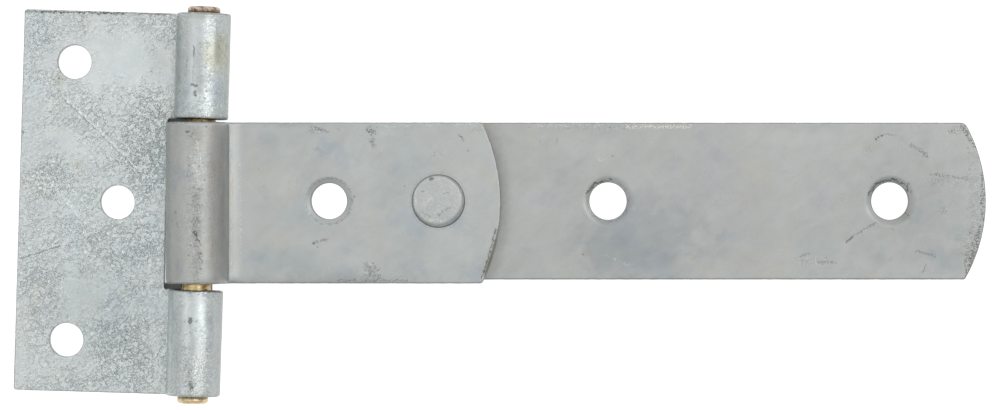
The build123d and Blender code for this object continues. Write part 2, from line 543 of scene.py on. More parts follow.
crease_z = lap_height + ramp_radius - (ramp_radius - crease_radius) * cos(ramp_slope)
crease_x = barrel_x + sqrt((plate_barrel + crease_radius) ** 2 - (crease_z - barrel_z) ** 2)
crease_angle = atan2(crease_z - barrel_z, crease_x - barrel_x)
ramp_x = crease_x + (ramp_radius - crease_radius) * sin(ramp_slope)
ramp_middle = ramp_radius + plate_thickness / 2
ramp_length = ramp_slope * ramp_middle
crease_middle = crease_radius + plate_thickness / 2
crease_length = (pi / 2 - ramp_slope - crease_angle) * crease_middle
roll_middle = plate_barrel - plate_thickness / 2
roll_length = (2 * pi + curl_end_angle - crease_angle) * roll_middle
crest = ramp_x - ramp_length - crease_length - (pi / 2 - crease_angle) * roll_middle

plate_pits = {
    "pits down the knuckle's crest": ((crest - 2, -24), (crest + 3, 23), 26, (0.16, 0.45)),
    "pit at the knuckle's upper end": at(crest + 3.2, 23.3, 0.45),
    "pits down the knuckle's left": ((crest + 8, -24), (crest + 13, 23), 8, (0.12, 0.28)),
    "pits down the knuckle's right": ((crest - 10, -22), (crest - 6, 22), 7, (0.14, 0.3)),
    "rough place at the upper side": ((53.2, 17), (56.6, 23.6), 9, (0.16, 0.42)),
    "rough place at the lower side": ((51.6, -23.6), (58, -19.6), 12, (0.16, 0.45)),
    "chain of pits under the hole": ((38.4, -13.4), (40.6, -11.8), 3, (0.18, 0.34)),
    "pit at the chain's end": at(36.3, -13.4, 0.45),
    "pit under it": at(37.6, -14.6, 0.35),
    "pit right of the lap's hole": at(49.3, 1.3, 0.45),
    "pit at the lap's upper corner": at(89.6, 23.2, 0.4),
    "pit at the hooked mark": at(83.2, 20.4, 0.4),
    "pit under the hooked mark": at(85.3, 15.9, 0.35),
    "pits above the rivet": ((73, 14.2), (78.8, 15.4), 4, (0.14, 0.26)),
    "pit left of the rivet": at(65.2, 4.7, 0.35),
    "pits by the upper edge": ((38, 21.6), (52, 24), 5, (0.14, 0.28)),
    "scattered": ((17, -23), (92, 23), 16, (0.1, 0.2)),
}


def fold_plate(u, t, n):
    """Where a point of the plate's blank goes: flat lap, ramp, crease, then the roll round the pin."""
    along = ramp_x - u
    if along <= 0:
        return u, t, strap_thickness + n
    if along < ramp_length:
        turn = along / ramp_middle
        radius = ramp_radius + plate_thickness - n
        return ramp_x - radius * sin(turn), t, lap_height + ramp_radius - radius * cos(turn)
    along -= ramp_length
    if along < crease_length:
        turn = ramp_slope + along / crease_middle
        radius = crease_radius + plate_thickness - n
        return crease_x - radius * sin(turn), t, crease_z - radius * cos(turn)
    turn = crease_angle + (along - crease_length) / roll_middle
    radius = plate_barrel - plate_thickness + n
    return barrel_x + radius * cos(turn), t, barrel_z + radius * sin(turn)


def plate_step(u):
    """How far apart the plate's rows of points are at u."""
    flat_margin, crease_margin = 1, 0.5
    if u > ramp_x + flat_margin:
        return grid_step
    crease_start = ramp_x - ramp_length
    in_crease = crease_start - crease_length - crease_margin < u < crease_start + crease_margin
    return crease_step if in_crease else roll_step


# The torn lower corner of the lap: it lies below a height of the plate, is deepest a run below that,
# ends a short run above the plate's lower side, and its edge is ragged.
tear_width = 12
tear_depth = 1.1
tear_top, tear_run = -6, 12
tear_bottom, tear_end = -25, 2.5
tear_ragged, tear_size, tear_seed = 0.5, 1.1, 3.1


def plate_rim(point):
    """The plate's rim: rounder on the knuckle, torn and sloping at the lap's lower corner."""
    easing = 6
    rolled = eased(point.x, ramp_x, ramp_x - easing)
    rim = plain_rim(plate_thickness, face_round + (rolled_round - face_round) * rolled)
    tear = 0.0
    if point.x > plate_high.x - tear_width:
        below, above = (tear_top - point.y) / tear_run, (point.y - tear_bottom) / tear_end
        tear = tear_depth * max(0.0, min(1.0, below, above))
    if tear == 0:
        return rim
    tear += tear_ragged * (unevenness(point.x, point.y, tear_size, tear_seed) - 0.5)
    torn = -min(1.0, tear)
    return [(inset + tear * (height / plate_thickness) ** 3, height, torn) for inset, height, _ in rim]


def make_knuckle_plate():
    """The lapped strip: its end sheared round, its other end rolled round the pin."""
    heel = ramp_x - ramp_length - crease_length - roll_length
    outline = arched_strip(
        heel=heel,
        reach=plate_high.x,
        low=plate_low.y,
        high=plate_high.y,
        end_radius=plate_end_radius,
        low_round=plate_corner_radius,
        high_round=plate_corner_radius,
    )
    loops = [(sheared(outline, plate_bite), plate_rim)]
    loops.append(round_hole(*hole("strap_hole_near"), dished_rim(plate_thickness)))
    loops.append(round_hole(rivet_spot, shank_hole_radius, plain_rim(plate_thickness, hidden_round)))
    dents = pits(5, plate_pits, loops)
    lookup = near(dents)
    uneven_from, uneven_full = ramp_x - 3, ramp_x - 8
    rollover, rollover_width = 0.32, 2.6
    rollover_full, rollover_gone = 50, 70

    def relief(u, t, n):
        depth, dirt = dented(u, t, lookup(u, t))
        depth += waved(u, t, plate_waves)
        depth += eased(u, uneven_from, uneven_full) * waved(u, t, rolled_plate_waves)
        over = max(0.0, 1 - (t - plate_low.y) / rollover_width)
        depth += rollover * over**2 * eased(u, rollover_gone, rollover_full)
        return n - depth * n / plate_thickness, dirt * eased(n, 0, plate_thickness)

    return folded_sheet(
        "lapped_knuckle_plate",
        loops,
        area=(Vector((heel, plate_low.y)), plate_high.to_2d()),
        step_at=plate_step,
        dents=dents,
        back_dents=(),
        relief=relief,
        fold=fold_plate,
    )


# Leaf

tongue_middle = leaf_barrel - leaf_thickness / 2
leaf_crest = pi * tongue_middle
roll_start = 4

leaf_pits = {
    "dot at the upper edge": at(-29.9, 53.4, 0.35),
    "dot by the upper knuckle": at(-12.3, 48.3, 0.4),
    "dot under it": at(-16.6, 40.8, 0.3),
    "dot left of that": at(-19.4, 38.9, 0.35),
    "dot in the upper middle": at(-32.6, 31.5, 0.35),
    "dot in the tan stain": at(-45.9, 37.7, 0.4),
    "rough place at the lower right": ((-30, -52), (-19, -41), 14, (0.2, 0.42)),
    "rough place at the right": ((-24, 4), (-14, 31), 20, (0.16, 0.36)),
    "rough place at the left": ((-54, 1), (-42, 12), 8, (0.16, 0.34)),
    "scattered over the upper half": ((-56, 0), (-12, 57), 26, (0.12, 0.26)),
    "scattered over the lower half": ((-56, -60), (-14, 0), 50, (0.12, 0.3)),
}
knuckle_pits = {
    "blotch on the upper knuckle": ((leaf_crest - 1.8, 34), (leaf_crest - 0.2, 36), 5, (0.3, 0.5)),
    "blotch under it": ((leaf_crest - 1.6, 31.6), (leaf_crest - 0.4, 33.4), 5, (0.28, 0.45)),
    "blotch on the lower knuckle": ((leaf_crest - 1.6, -40.4), (leaf_crest - 0.2, -37), 7, (0.3, 0.5)),
    "blotch at the lower knuckle's end": ((leaf_crest - 1.2, -59.4), (leaf_crest + 0.2, -58), 4, (0.3, 0.5)),
    "crack on the upper knuckle": ((leaf_crest - 1.6, 38), (leaf_crest - 1, 50), 12, (0.12, 0.26)),
    "scattered over the upper knuckle": ((leaf_crest - 6, 28), (leaf_crest + 6, 57), 14, (0.14, 0.3)),
    "scattered over the lower knuckle": ((leaf_crest - 5, -60), (leaf_crest + 4, -38), 26, (0.14, 0.34)),
}


def fold_leaf(u, t, n):
    """Where a point of the leaf's blank goes: flat, or rolled forward over the pin, then drooped."""
    x, z = u, n
    if u > 0:
        turn = u / tongue_middle
        radius = leaf_barrel - n
        x, z = radius * sin(turn), leaf_barrel - radius * cos(turn)
    place = on_leaf(x, t)
    return place.x, place.y, z


def leaf_rim(point):
    """The leaf's rim: plain on the sheet, worn round in the notch and outside the knuckles."""
    rolled = eased(point.x, 0, roll_start)
    rim = plain_rim(leaf_thickness, face_round, back_round + (rolled_round - back_round) * rolled)
    if notch_bottom < point.y < notch_top and -leaf_width / 2 < point.x < -leaf_barrel:
        rim = [(inset, height, 0.0) for inset, height, _ in plain_rim(leaf_thickness, notch_round)]
    return rim


def make_leaf():
    """The leaf: punched, pitted under its heavy coat, and rolled into two knuckles."""
    loops = [(sheared(notched_sheet(), leaf_bite), leaf_rim)]
    for name in leaf_holes:
        centre, radius = hole(name)
        loops.append(round_hole(off_leaf(centre), radius, plain_rim(leaf_thickness, punched_round)))
    dents = pits(7, leaf_pits, loops)
    back_dents = pits(8, knuckle_pits, loops)
    lookup = near(dents)
    back_lookup = near(back_dents)

    def relief(u, t, n):
        if u > 0:
            depth, dirt = dented(u, t, back_lookup(u, t))
            depth += waved(u, t, rolled_leaf_waves) * eased(u, 0, roll_start)
            return n + depth * (1 - n / leaf_thickness), dirt * eased(n, leaf_thickness, 0)
        depth, dirt = dented(u, t, lookup(u, t))
        depth += waved(u, t, leaf_waves)
        return n - depth * n / leaf_thickness, dirt * eased(n, 0, leaf_thickness)

    roll_end = (roll_end_angle + pi / 2) * tongue_middle
    before_roll = -1
    return folded_sheet(
        "rolled_leaf",
        loops,
        area=(Vector((-leaf_width, leaf_bottom)), Vector((roll_end, leaf_top))),
        step_at=lambda u: roll_step if u > before_roll else grid_step,
        dents=dents,
        back_dents=back_dents,
        relief=relief,
        fold=fold_leaf,
    )


# Turned pieces


def turned(name, profile, around, place, segments=96):
    """A piece turned from its half section (radius, along, wear), its hammered parts uneven."""
    verts, wear, faces = [], [], []
    for radius, along, worn in profile:
        for k in range(segments):
            verts.append(place(*around(radius, along, 2 * pi * k / segments)))
            wear.append(worn)
    for level in range(len(profile) - 1):
        for k in range(segments):
            after = (k + 1) % segments
            here = level * segments
            faces.append((here + k, here + segments + k, here + segments + after, here + after))
    faces.append(list(range(segments)))
    last = (len(profile) - 1) * segments
    faces.append([last + k for k in reversed(range(segments))])
    return as_piece(name, verts, faces, wear, [0.0] * len(verts))


def make_rivet():
    """The rivet: a flat head, struck uneven, on its shank, and the tail closed at the back."""
    top = rivet_high.z
    head_rings, middle_ring, sunk, edge_wear = 16, 0.15, 0.02, 0.25
    quarter = [pi / 8 * k for k in range(5)]
    rings = [middle_ring + (head_radius - head_round) * k / head_rings for k in range(head_rings)]
    profile = [(radius, top - sunk, 0.0) for radius in rings]
    for a in quarter:
        radius = head_radius - head_round * (1 - sin(a))
        profile.append((radius, top - head_round * (1 - cos(a)), edge_wear * sin(a)))
    profile += [(head_radius, lap_height, edge_wear), (shank_radius, lap_height, 0.0)]
    flare = tail_radius - shank_radius
    profile += [(shank_radius, flare, 0.0), (tail_radius, 0.0, 0.3)]
    profile += [(tail_radius * share, 0.0, 0.0) for share in (0.6, 0.3, 0.04)]
    head_foot = lap_height + 0.01
    edge_drop, lower_right_drop = 0.1, 0.2

    def struck(radius, along, turn):
        x, y = radius * cos(turn), radius * sin(turn)
        if along > head_foot:
            share = min(1.0, radius / head_radius)
            lower_right = 0.5 + 0.5 * cos(turn + pi / 4)
            up = (along - lap_height) / (top - lap_height)
            bevel = head_bevel * up * lower_right + waved(cos(turn), sin(turn), head_outline_waves)
            shrink = 1 - bevel / head_radius
            along -= waved(x, y, rivet_waves)
            along -= (edge_drop + lower_right_drop * lower_right) * share**4
            x, y = x * shrink, y * shrink
        return x, y, along

    return turned("pan_rivet", profile, struck, lambda x, y, z: (rivet_spot.x + x, y, z))


def make_pin():
    """The pin: a straight shank, each end hammered over outside the leaf's knuckle."""
    low_end, low_seat, high_seat, high_end = pin_ends
    quarter = [pi / 10 * k for k in range(6)]
    caps = (0.2, 0.4, 0.65, 0.85)
    shank_rings = 60
    squash, squash_size = 0.06, 0.77
    at_seat, past_seat = 0.01, 0.5
    profile = [((upper_peen_radius - peen_round) * share, high_end, 0.0) for share in caps]
    for a in quarter:
        radius = upper_peen_radius - peen_round * (1 - sin(a))
        profile.append((radius, high_end - upper_peen_drop * (1 - cos(a)), 0.0))
    profile += [(upper_peen_radius, high_seat, 0.5), (pin_radius, high_seat, 0.0)]
    for k in range(1, shank_rings + 1):
        profile.append((pin_radius, high_seat + (low_seat - high_seat) * k / shank_rings, 0.0))
    profile.append((lower_peen_radius, low_seat, 0.5))
    for a in quarter:
        radius = lower_peen_radius - peen_round * (1 - cos(a))
        profile.append((radius, low_end + lower_peen_drop * (1 - sin(a)), 0.0))
    profile += [((lower_peen_radius - peen_round) * share, low_end, 0.0) for share in reversed(caps)]

    def hammered(radius, along, turn):
        if along > high_seat - at_seat or along < low_seat + at_seat:
            radius *= 1 - squash * unevenness(cos(turn), sin(turn), squash_size, along / 2)
            dip = waved(radius * cos(turn), radius * sin(turn), pin_waves)
            if along > high_seat + past_seat:
                along -= dip
            elif along < low_seat - past_seat:
                along += dip
        return radius * cos(turn), along, radius * sin(turn)

    def placed(x, y, z):
        spot = on_leaf(x, y)
        return spot.x, spot.y, leaf_barrel + z

    return turned("peened_pin", profile, hammered, placed)


# Shader nodes


def add(tree, kind, inputs=None, **settings):
    """A new node with its settings, each input given a value or linked to a socket."""
    node = tree.nodes.new(kind)
    for name, value in settings.items():
        setattr(node, name, value)
    for key, value in (inputs or {}).items():
        if isinstance(value, bpy.types.NodeSocket):
            tree.links.new(value, node.inputs[key])
        else:
            node.inputs[key].default_value = value
    return node


def calc(tree, operation, *values):
    """One sum on numbers."""
    return add(tree, "ShaderNodeMath", dict(enumerate(values)), operation=operation).outputs[0]


def product(tree, *values):
    """Several numbers multiplied together."""
    result = values[0]
    for value in values[1:]:
        result = calc(tree, "MULTIPLY", result, value)
    return result


def total(tree, *values):
    """Several numbers added together."""
    result = values[0]
    for value in values[1:]:
        result = calc(tree, "ADD", result, value)
    return result


def vector_calc(tree, operation, *values):
    """One sum on vectors."""
    node = add(tree, "ShaderNodeVectorMath", dict(enumerate(values)), operation=operation)
    return node.outputs["Value" if operation in ("DOT_PRODUCT", "LENGTH") else "Vector"]


def clamped(tree, value, low, high):
    """A number kept between two others."""
    return calc(tree, "MINIMUM", calc(tree, "MAXIMUM", value, low), high)


def off_middle(tree, value):
    """How far a noise value lies from its middle."""
    return calc(tree, "SUBTRACT", value, 0.5)


def flattened(tree, vector):
    """A vector with its height taken out, so that it counts over the face alone."""
    return vector_calc(tree, "MULTIPLY", vector, (1, 1, 0))


def scaled(tree, vector, factor):
    """A vector times a number."""
    return add(tree, "ShaderNodeVectorMath", {0: vector, "Scale": factor}, operation="SCALE").outputs[0]


def step_between(tree, value, low, high, to_low=0.0, to_high=1.0):
    """A smooth step of a value from one level to another."""
    inputs = {"Value": value, "From Min": low, "From Max": high, "To Min": to_low, "To Max": to_high}
    return add(tree, "ShaderNodeMapRange", inputs, interpolation_type="SMOOTHSTEP").outputs["Result"]


def cloud(tree, place, size, detail=2.0, roughness=0.5, distortion=0.0):
    """Soft noise, in patches of about a size."""
    scale = calc(tree, "DIVIDE", 1.0, size) if isinstance(size, bpy.types.NodeSocket) else 1.0 / size
    inputs = {"Vector": place, "Scale": scale, "Detail": detail, "Roughness": roughness}
    inputs["Distortion"] = distortion
    return add(tree, "ShaderNodeTexNoise", inputs).outputs[0]


def drawn_out(tree, place, angle, along, across):
    """The place in a frame turned by an angle and measured in its own two sizes, for long noise."""
    inputs = {"Vector": place, "Rotation": (0, 0, radians(angle)), "Scale": (along, across, 1.0)}
    return add(tree, "ShaderNodeMapping", inputs, vector_type="TEXTURE").outputs[0]


def mixed(tree, share, first, second, blend="MIX"):
    """Two colours mixed by a share; the node has its colours in inputs 6 and 7 and in output 2."""
    node = add(tree, "ShaderNodeMix", data_type="RGBA", blend_type=blend)
    for key, value in ((0, share), (6, first), (7, second)):
        if isinstance(value, bpy.types.NodeSocket):
            tree.links.new(value, node.inputs[key])
        else:
            node.inputs[key].default_value = value if key == 0 or len(value) == 4 else (*value, 1.0)
    return node.outputs[2]


def toned(tree, mask, colour, tone):
    """The colour, multiplied by a tone where the mask is."""
    return mixed(tree, mask, colour, mixed(tree, 1.0, colour, tone, "MULTIPLY"))


def new_group(name, inputs, outputs):
    """An empty node group with named inputs and outputs."""
    tree = bpy.data.node_groups.new(name, "ShaderNodeTree")
    kinds = {"number": "NodeSocketFloat", "vector": "NodeSocketVector", "colour": "NodeSocketColor"}
    for label, kind in inputs.items():
        tree.interface.new_socket(label, in_out="INPUT", socket_type=kinds[kind])
    for label, kind in outputs.items():
        tree.interface.new_socket(label, in_out="OUTPUT", socket_type=kinds[kind])
    return tree, tree.nodes.new("NodeGroupInput").outputs, tree.nodes.new("NodeGroupOutput").inputs


def use(tree, group, inputs):
    """A node group placed in a material with its own values."""
    node = tree.nodes.new("ShaderNodeGroup")
    node.node_tree = group
    for key, value in inputs.items():
        if isinstance(value, bpy.types.NodeSocket):
            tree.links.new(value, node.inputs[key])
        else:
            node.inputs[key].default_value = value
    return node.outputs


def build_chance():
    """Chance that marks and stains share: a place that wanders, flecks, and two sizes of cloud."""
    outputs = {"Wandering": "vector", "Flecks": "number", "Cloud": "number", "Small Cloud": "number"}
    tree, given, made = new_group("chance", {"Place": "vector"}, outputs)
    place = given["Place"]
    waver_reach, middle_grey = 1.6, (0.5, 0.5, 0.5)
    waver = add(tree, "ShaderNodeTexNoise", {"Vector": place, "Scale": 0.7, "Detail": 3.0}).outputs[1]
    waver = scaled(tree, vector_calc(tree, "SUBTRACT", waver, middle_grey), waver_reach)
    tree.links.new(flattened(tree, vector_calc(tree, "ADD", place, waver)), made["Wandering"])
    flecks = cloud(tree, place, size=0.5, detail=1.0)
    tree.links.new(step_between(tree, flecks, 0.34, 0.66), made["Flecks"])
    tree.links.new(cloud(tree, place, size=5.0, detail=3.0, roughness=0.6), made["Cloud"])
    tree.links.new(cloud(tree, place, size=2.2, detail=3.0, roughness=0.6), made["Small Cloud"])
    return tree


def build_mark():
    """A scratch, a trail of flecks, or a line of painted shade or painted highlight, from one place on the
    face to another.
    """
    inputs = {"Wandering": "vector", "Flecks": "number", "Start": "vector", "End": "vector"}
    inputs.update({"Width": "number", "Breakup": "number"})
    tree, given, made = new_group("mark", inputs, {"Mask": "number"})
    from_start = vector_calc(tree, "SUBTRACT", given["Wandering"], given["Start"])
    along = vector_calc(tree, "SUBTRACT", given["End"], given["Start"])
    shortest, fleck_reach, soft_edge = 0.0001, 1.5, 0.35
    reach = calc(tree, "MAXIMUM", vector_calc(tree, "DOT_PRODUCT", along, along), shortest)
    share = calc(tree, "DIVIDE", vector_calc(tree, "DOT_PRODUCT", from_start, along), reach)
    nearest = scaled(tree, along, clamped(tree, share, 0.0, 1.0))
    away = vector_calc(tree, "LENGTH", vector_calc(tree, "SUBTRACT", from_start, nearest))
    inside = calc(tree, "SUBTRACT", 1.0, calc(tree, "DIVIDE", away, given["Width"]))
    left = calc(tree, "SUBTRACT", inside, product(tree, given["Flecks"], given["Breakup"], fleck_reach))
    tree.links.new(step_between(tree, left, 0.0, soft_edge), made["Mask"])
    return tree


def build_patch():
    """A soft patch on the face, with a cloudy border."""
    inputs = {"Place": "vector", "Cloud": "number", "Centre": "vector", "Reach": "vector"}
    tree, given, made = new_group("patch", {**inputs, "Softness": "number"}, {"Mask": "number"})
    cloudiness = 1.1
    away = vector_calc(tree, "SUBTRACT", given["Place"], given["Centre"])
    away = vector_calc(tree, "DIVIDE", flattened(tree, away), given["Reach"])
    border = off_middle(tree, given["Cloud"])
    away = calc(tree, "MULTIPLY_ADD", border, cloudiness, vector_calc(tree, "LENGTH", away))
    inner = calc(tree, "SUBTRACT", 1.0, given["Softness"])
    tree.links.new(step_between(tree, away, 1.0, inner), made["Mask"])
    return tree


def build_ring():
    """Grime, painted shade or flecks along a circle: strongest at its radius, gone a width away on either
    side.
    """
    inputs = {"Place": "vector", "Cloud": "number", "Flecks": "number", "Centre": "vector"}
    inputs.update({"Radius": "number", "Width": "number", "Breakup": "number"})
    tree, given, made = new_group("ring", inputs, {"Mask": "number"})
    cloudiness, soft_edge = 0.9, 0.9
    away = vector_calc(tree, "SUBTRACT", given["Place"], given["Centre"])
    away = vector_calc(tree, "LENGTH", flattened(tree, away))
    away = calc(tree, "ABSOLUTE", calc(tree, "SUBTRACT", away, given["Radius"]))
    border = off_middle(tree, given["Cloud"])
    away = calc(tree, "MULTIPLY_ADD", border, cloudiness, calc(tree, "DIVIDE", away, given["Width"]))
    left = calc(tree, "SUBTRACT", 1.0, calc(tree, "MULTIPLY_ADD", given["Flecks"], given["Breakup"], away))
    tree.links.new(step_between(tree, left, 0.0, soft_edge), made["Mask"])
    return tree


def build_zinc_coat():
    """The zinc coat: clouds of tone and tint, frozen wrinkles where it is rough, and fine streaks."""
    inputs = {
        "Place": "vector",
        "Rough": "number",
        "Metal": "colour",
        "Cool": "colour",
        "Warm": "colour",
        "Cloud Size": "number",
        "Cloud Depth": "number",
        "Wrinkle Size": "number",
        "Wrinkle Depth": "number",
        "Grain Depth": "number",
        "Streak Depth": "number",
    }
    outputs = {"Colour": "colour", "Height": "number", "Gloss": "number"}
    tree, given, made = new_group("zinc_coat", inputs, outputs)
    place = given["Place"]
    tone = cloud(tree, place, given["Cloud Size"], detail=4.0, roughness=0.58, distortion=0.5)
    tone = off_middle(tree, tone)
    wiped = drawn_out(tree, place, angle=35, along=9.0, across=4.0)
    brushed = off_middle(tree, cloud(tree, wiped, 1.0, detail=3.0, roughness=0.55, distortion=0.8))
    other_chance = (70.0, 30.0, 0.0)
    tint = vector_calc(tree, "ADD", place, other_chance)
    tint = cloud(tree, tint, size=11.0, detail=3.0, roughness=0.6)
    grain = off_middle(tree, cloud(tree, place, size=0.6, detail=2.0, roughness=0.65))
    # Wrinkles: short crooked ridges with a furrow beside them.
    leaning = drawn_out(tree, place, angle=30, along=1.15, across=0.95)
    crumple = cloud(tree, leaning, given["Wrinkle Size"], detail=2.0, roughness=0.55, distortion=1.0)
    ridge_at, ridge_width, furrow_at, furrow_width = 0.5, 0.06, 0.58, 0.035
    ridge = calc(tree, "ABSOLUTE", calc(tree, "SUBTRACT", crumple, ridge_at))
    ridge = step_between(tree, ridge, ridge_width, 0.0)
    furrow = calc(tree, "ABSOLUTE", calc(tree, "SUBTRACT", crumple, furrow_at))
    furrow = step_between(tree, furrow, furrow_width, 0.0)
    ridge = product(tree, ridge, given["Rough"])
    furrow = product(tree, furrow, given["Rough"])
    sparkle = product(tree, grain, given["Rough"])
    # Streaks: long fine scratches, most of them down to the right.
    lines = []
    for angle, length, width in ((-38, 14.0, 0.5), (-47, 9.0, 0.4), (-8, 11.0, 0.35)):
        fibres = cloud(tree, drawn_out(tree, place, angle, length, width), size=1.0, detail=1.0)
        lines.append(step_between(tree, fibres, 0.64, 0.74))
    streak = calc(tree, "MAXIMUM", calc(tree, "MAXIMUM", lines[0], lines[1]), lines[2])
    streaky = step_between(tree, cloud(tree, place, size=13.0), 0.42, 0.6)
    streak = product(tree, streak, streaky, given["Streak Depth"])
    colour = mixed(tree, step_between(tree, tint, 0.45, 0.3), given["Metal"], given["Cool"])
    colour = mixed(tree, step_between(tree, tint, 0.55, 0.7), colour, given["Warm"])
    # Shade: ridges and streaks lighten the metal, furrows darken it; on the wrinkles this is partly the
    # coat's own tone, and partly painted light on the ridges and painted shade in the furrows.
    furrow_shade, sparkle_shade, brushed_shade, ridge_and_furrow_shade, streak_shade = -0.35, 1.8, 0.55, 0.28, 0.6
    worn = total(tree, ridge, product(tree, furrow, furrow_shade), product(tree, sparkle, sparkle_shade))
    shade = total(
        tree,
        product(tree, calc(tree, "MULTIPLY_ADD", brushed, brushed_shade, tone), given["Cloud Depth"]),
        product(tree, grain, given["Grain Depth"]),
        product(tree, worn, given["Wrinkle Depth"], ridge_and_furrow_shade),
        product(tree, streak, streak_shade),
        1.0,
    )
    tree.links.new(scaled(tree, colour, shade), made["Colour"])
    # Height: ridges stand up, furrows and streaks are cut in.
    furrow_rise, sparkle_rise, brushed_rise, streak_rise = -0.6, 1.6, 0.5, -1.0
    relief = total(tree, ridge, product(tree, furrow, furrow_rise), product(tree, sparkle, sparkle_rise))
    height = total(
        tree,
        product(tree, relief, given["Wrinkle Depth"]),
        product(tree, grain, given["Grain Depth"]),
        product(tree, brushed, brushed_rise),
        product(tree, streak, streak_rise),
    )
    tree.links.new(height, made["Height"])
    tree.links.new(calc(tree, "ADD", tone, 0.5), made["Gloss"])
    return tree


chance = build_chance()
mark = build_mark()
patch = build_patch()
ring = build_ring()
zinc_coat = build_zinc_coat()


def finish_material(name):
    """A material with its shader, its place on the object in millimetres, and how far it faces up."""
    material = bpy.data.materials.new(name)
    material.use_nodes = True
    tree = material.node_tree
    shader = next(n for n in tree.nodes if n.type == "BSDF_PRINCIPLED")
    coordinates = tree.nodes.new("ShaderNodeTexCoord")
    place = scaled(tree, coordinates.outputs["Object"], 1 / MM)
    up = add(tree, "ShaderNodeSeparateXYZ", {0: coordinates.outputs["Normal"]}).outputs[2]
    return material, tree, shader, place, up


def wire_finish(tree, shader, colour, roughness, height, strength):
    """A bare metal's colour, roughness and bumps, wired to its shader."""
    bump_depth = 0.1
    tree.links.new(colour, shader.inputs["Base Color"])
    tree.links.new(roughness, shader.inputs["Roughness"])
    shader.inputs["Metallic"].default_value = 1.0
    inputs = {"Strength": strength, "Distance": bump_depth * MM, "Height": height}
    tree.links.new(add(tree, "ShaderNodeBump", inputs).outputs[0], shader.inputs["Normal"])


def remembered(tree, label):
    """What a piece's mesh remembers at each of its points."""
    return add(tree, "ShaderNodeAttribute", attribute_name=label).outputs["Fac"]


def flat_place(x, y):
    """A place on the face, for a mark or a patch."""
    return (x, y, 0.0)


def zinc(name, coat, roughness, painted_side_tone, rough_places, patches, marks, rings):
    """Zinc-coated steel: the coat, where it is rough, its stains, its marks and its dirty edges, with
    painted shade and painted highlights among its patches, marks and rings, and painted shade on steep
    faces.
    """
    roughest, mark_depth, edge_grime = 1.2, 0.3, 0.65
    material, tree, shader, place, up = finish_material(name)
    # Marks and stains lie on faces that look up, and the side tone, a painted shade, on steep ones.
    facing = step_between(tree, up, 0.2, 0.5)
    on_side = step_between(tree, up, 0.75, 0.3)
    uneven = use(tree, chance, {"Place": place})

    def in_patch(centre, reach, softness):
        inputs = {"Place": place, "Cloud": uneven["Cloud"], "Centre": flat_place(*centre)}
        mask = use(tree, patch, {**inputs, "Reach": (*reach, 1.0), "Softness": softness})["Mask"]
        return product(tree, mask, facing)

    rough = cloud(tree, place, size=9.0, detail=3.0, roughness=0.6)
    rough = step_between(tree, rough, *coat["rough spread"])
    for centre, reach, softness, amount in rough_places.values():
        rough = calc(tree, "MULTIPLY_ADD", in_patch(centre, reach, softness), amount, rough)
    finish = {label: value for label, value in coat.items() if label != "rough spread"}
    finish["Rough"] = clamped(tree, rough, 0.0, roughest)
    coated = use(tree, zinc_coat, {"Place": place, **finish})
    colour, height = coated["Colour"], coated["Height"]
    for centre, reach, softness, tone in patches.values():
        colour = toned(tree, in_patch(centre, reach, softness), colour, tone)
    for start, end, width, breakup, tone in marks.values():
        inputs = {"Wandering": uneven["Wandering"], "Flecks": uneven["Flecks"], "Width": width}
        inputs.update({"Start": flat_place(*start), "End": flat_place(*end), "Breakup": breakup})
        mask = product(tree, use(tree, mark, inputs)["Mask"], facing)
        colour = toned(tree, mask, colour, tone)
        height = calc(tree, "MULTIPLY_ADD", mask, -mark_depth, height)
    for centre, radius, width, breakup, tone in rings.values():
        inputs = {"Place": place, "Cloud": uneven["Small Cloud"], "Flecks": uneven["Flecks"]}
        inputs.update({"Centre": flat_place(*centre), "Radius": radius, "Width": width, "Breakup": breakup})
        colour = toned(tree, product(tree, use(tree, ring, inputs)["Mask"], facing), colour, tone)
    broken = cloud(tree, place, size=1.6, detail=3.0, roughness=0.7)
    broken = step_between(tree, broken, 0.36, 0.52)
    # A rim is above 0 where it is worn, and below 0 where it is torn.
    rim = remembered(tree, "rim")
    grime = product(tree, step_between(tree, rim, 0.1, 0.55), broken, edge_grime)
    colour = toned(tree, grime, colour, grimy_edge)
    torn = step_between(tree, rim, -0.1, -0.8)
    colour = toned(tree, torn, colour, torn_metal)
    colour = toned(tree, remembered(tree, "dirt"), colour, dirty_pit)
    # Painted shade on steep faces.
    colour = toned(tree, on_side, colour, painted_side_tone)
    gloss = step_between(tree, coated["Gloss"], 0.3, 0.7, *roughness)
    wire_finish(tree, shader, colour, gloss, height, strength=1.0)
    return material


golden, tarnished = (0.84, 0.68, 0.41), (0.44, 0.31, 0.17)
coppery, stained = (0.63, 0.54, 0.47), (0.26, 0.195, 0.15)
dark_speck = (0.25, 0.16, 0.1)
# Painted shadow under the upper peen, painted shade in the gaps, and painted streaks of shade there.
peen_shadow_tone = (0.62, 0.52, 0.38)
gap_shade_tone, upper_gap_shade_tone = (0.74, 0.72, 0.61), (0.36, 0.33, 0.3)
gap_streak_shade = (0.5, 0.44, 0.36)

# Places along the pin where its finish changes, and where its painted shade begins under the upper peen and
# in the gaps.
copper_from, copper_full = 30.0, 50.0
peen_start = pin_ends[3] - 1.0
gap_full, gap_gone = notch_top + 2.5, notch_top + 3.5


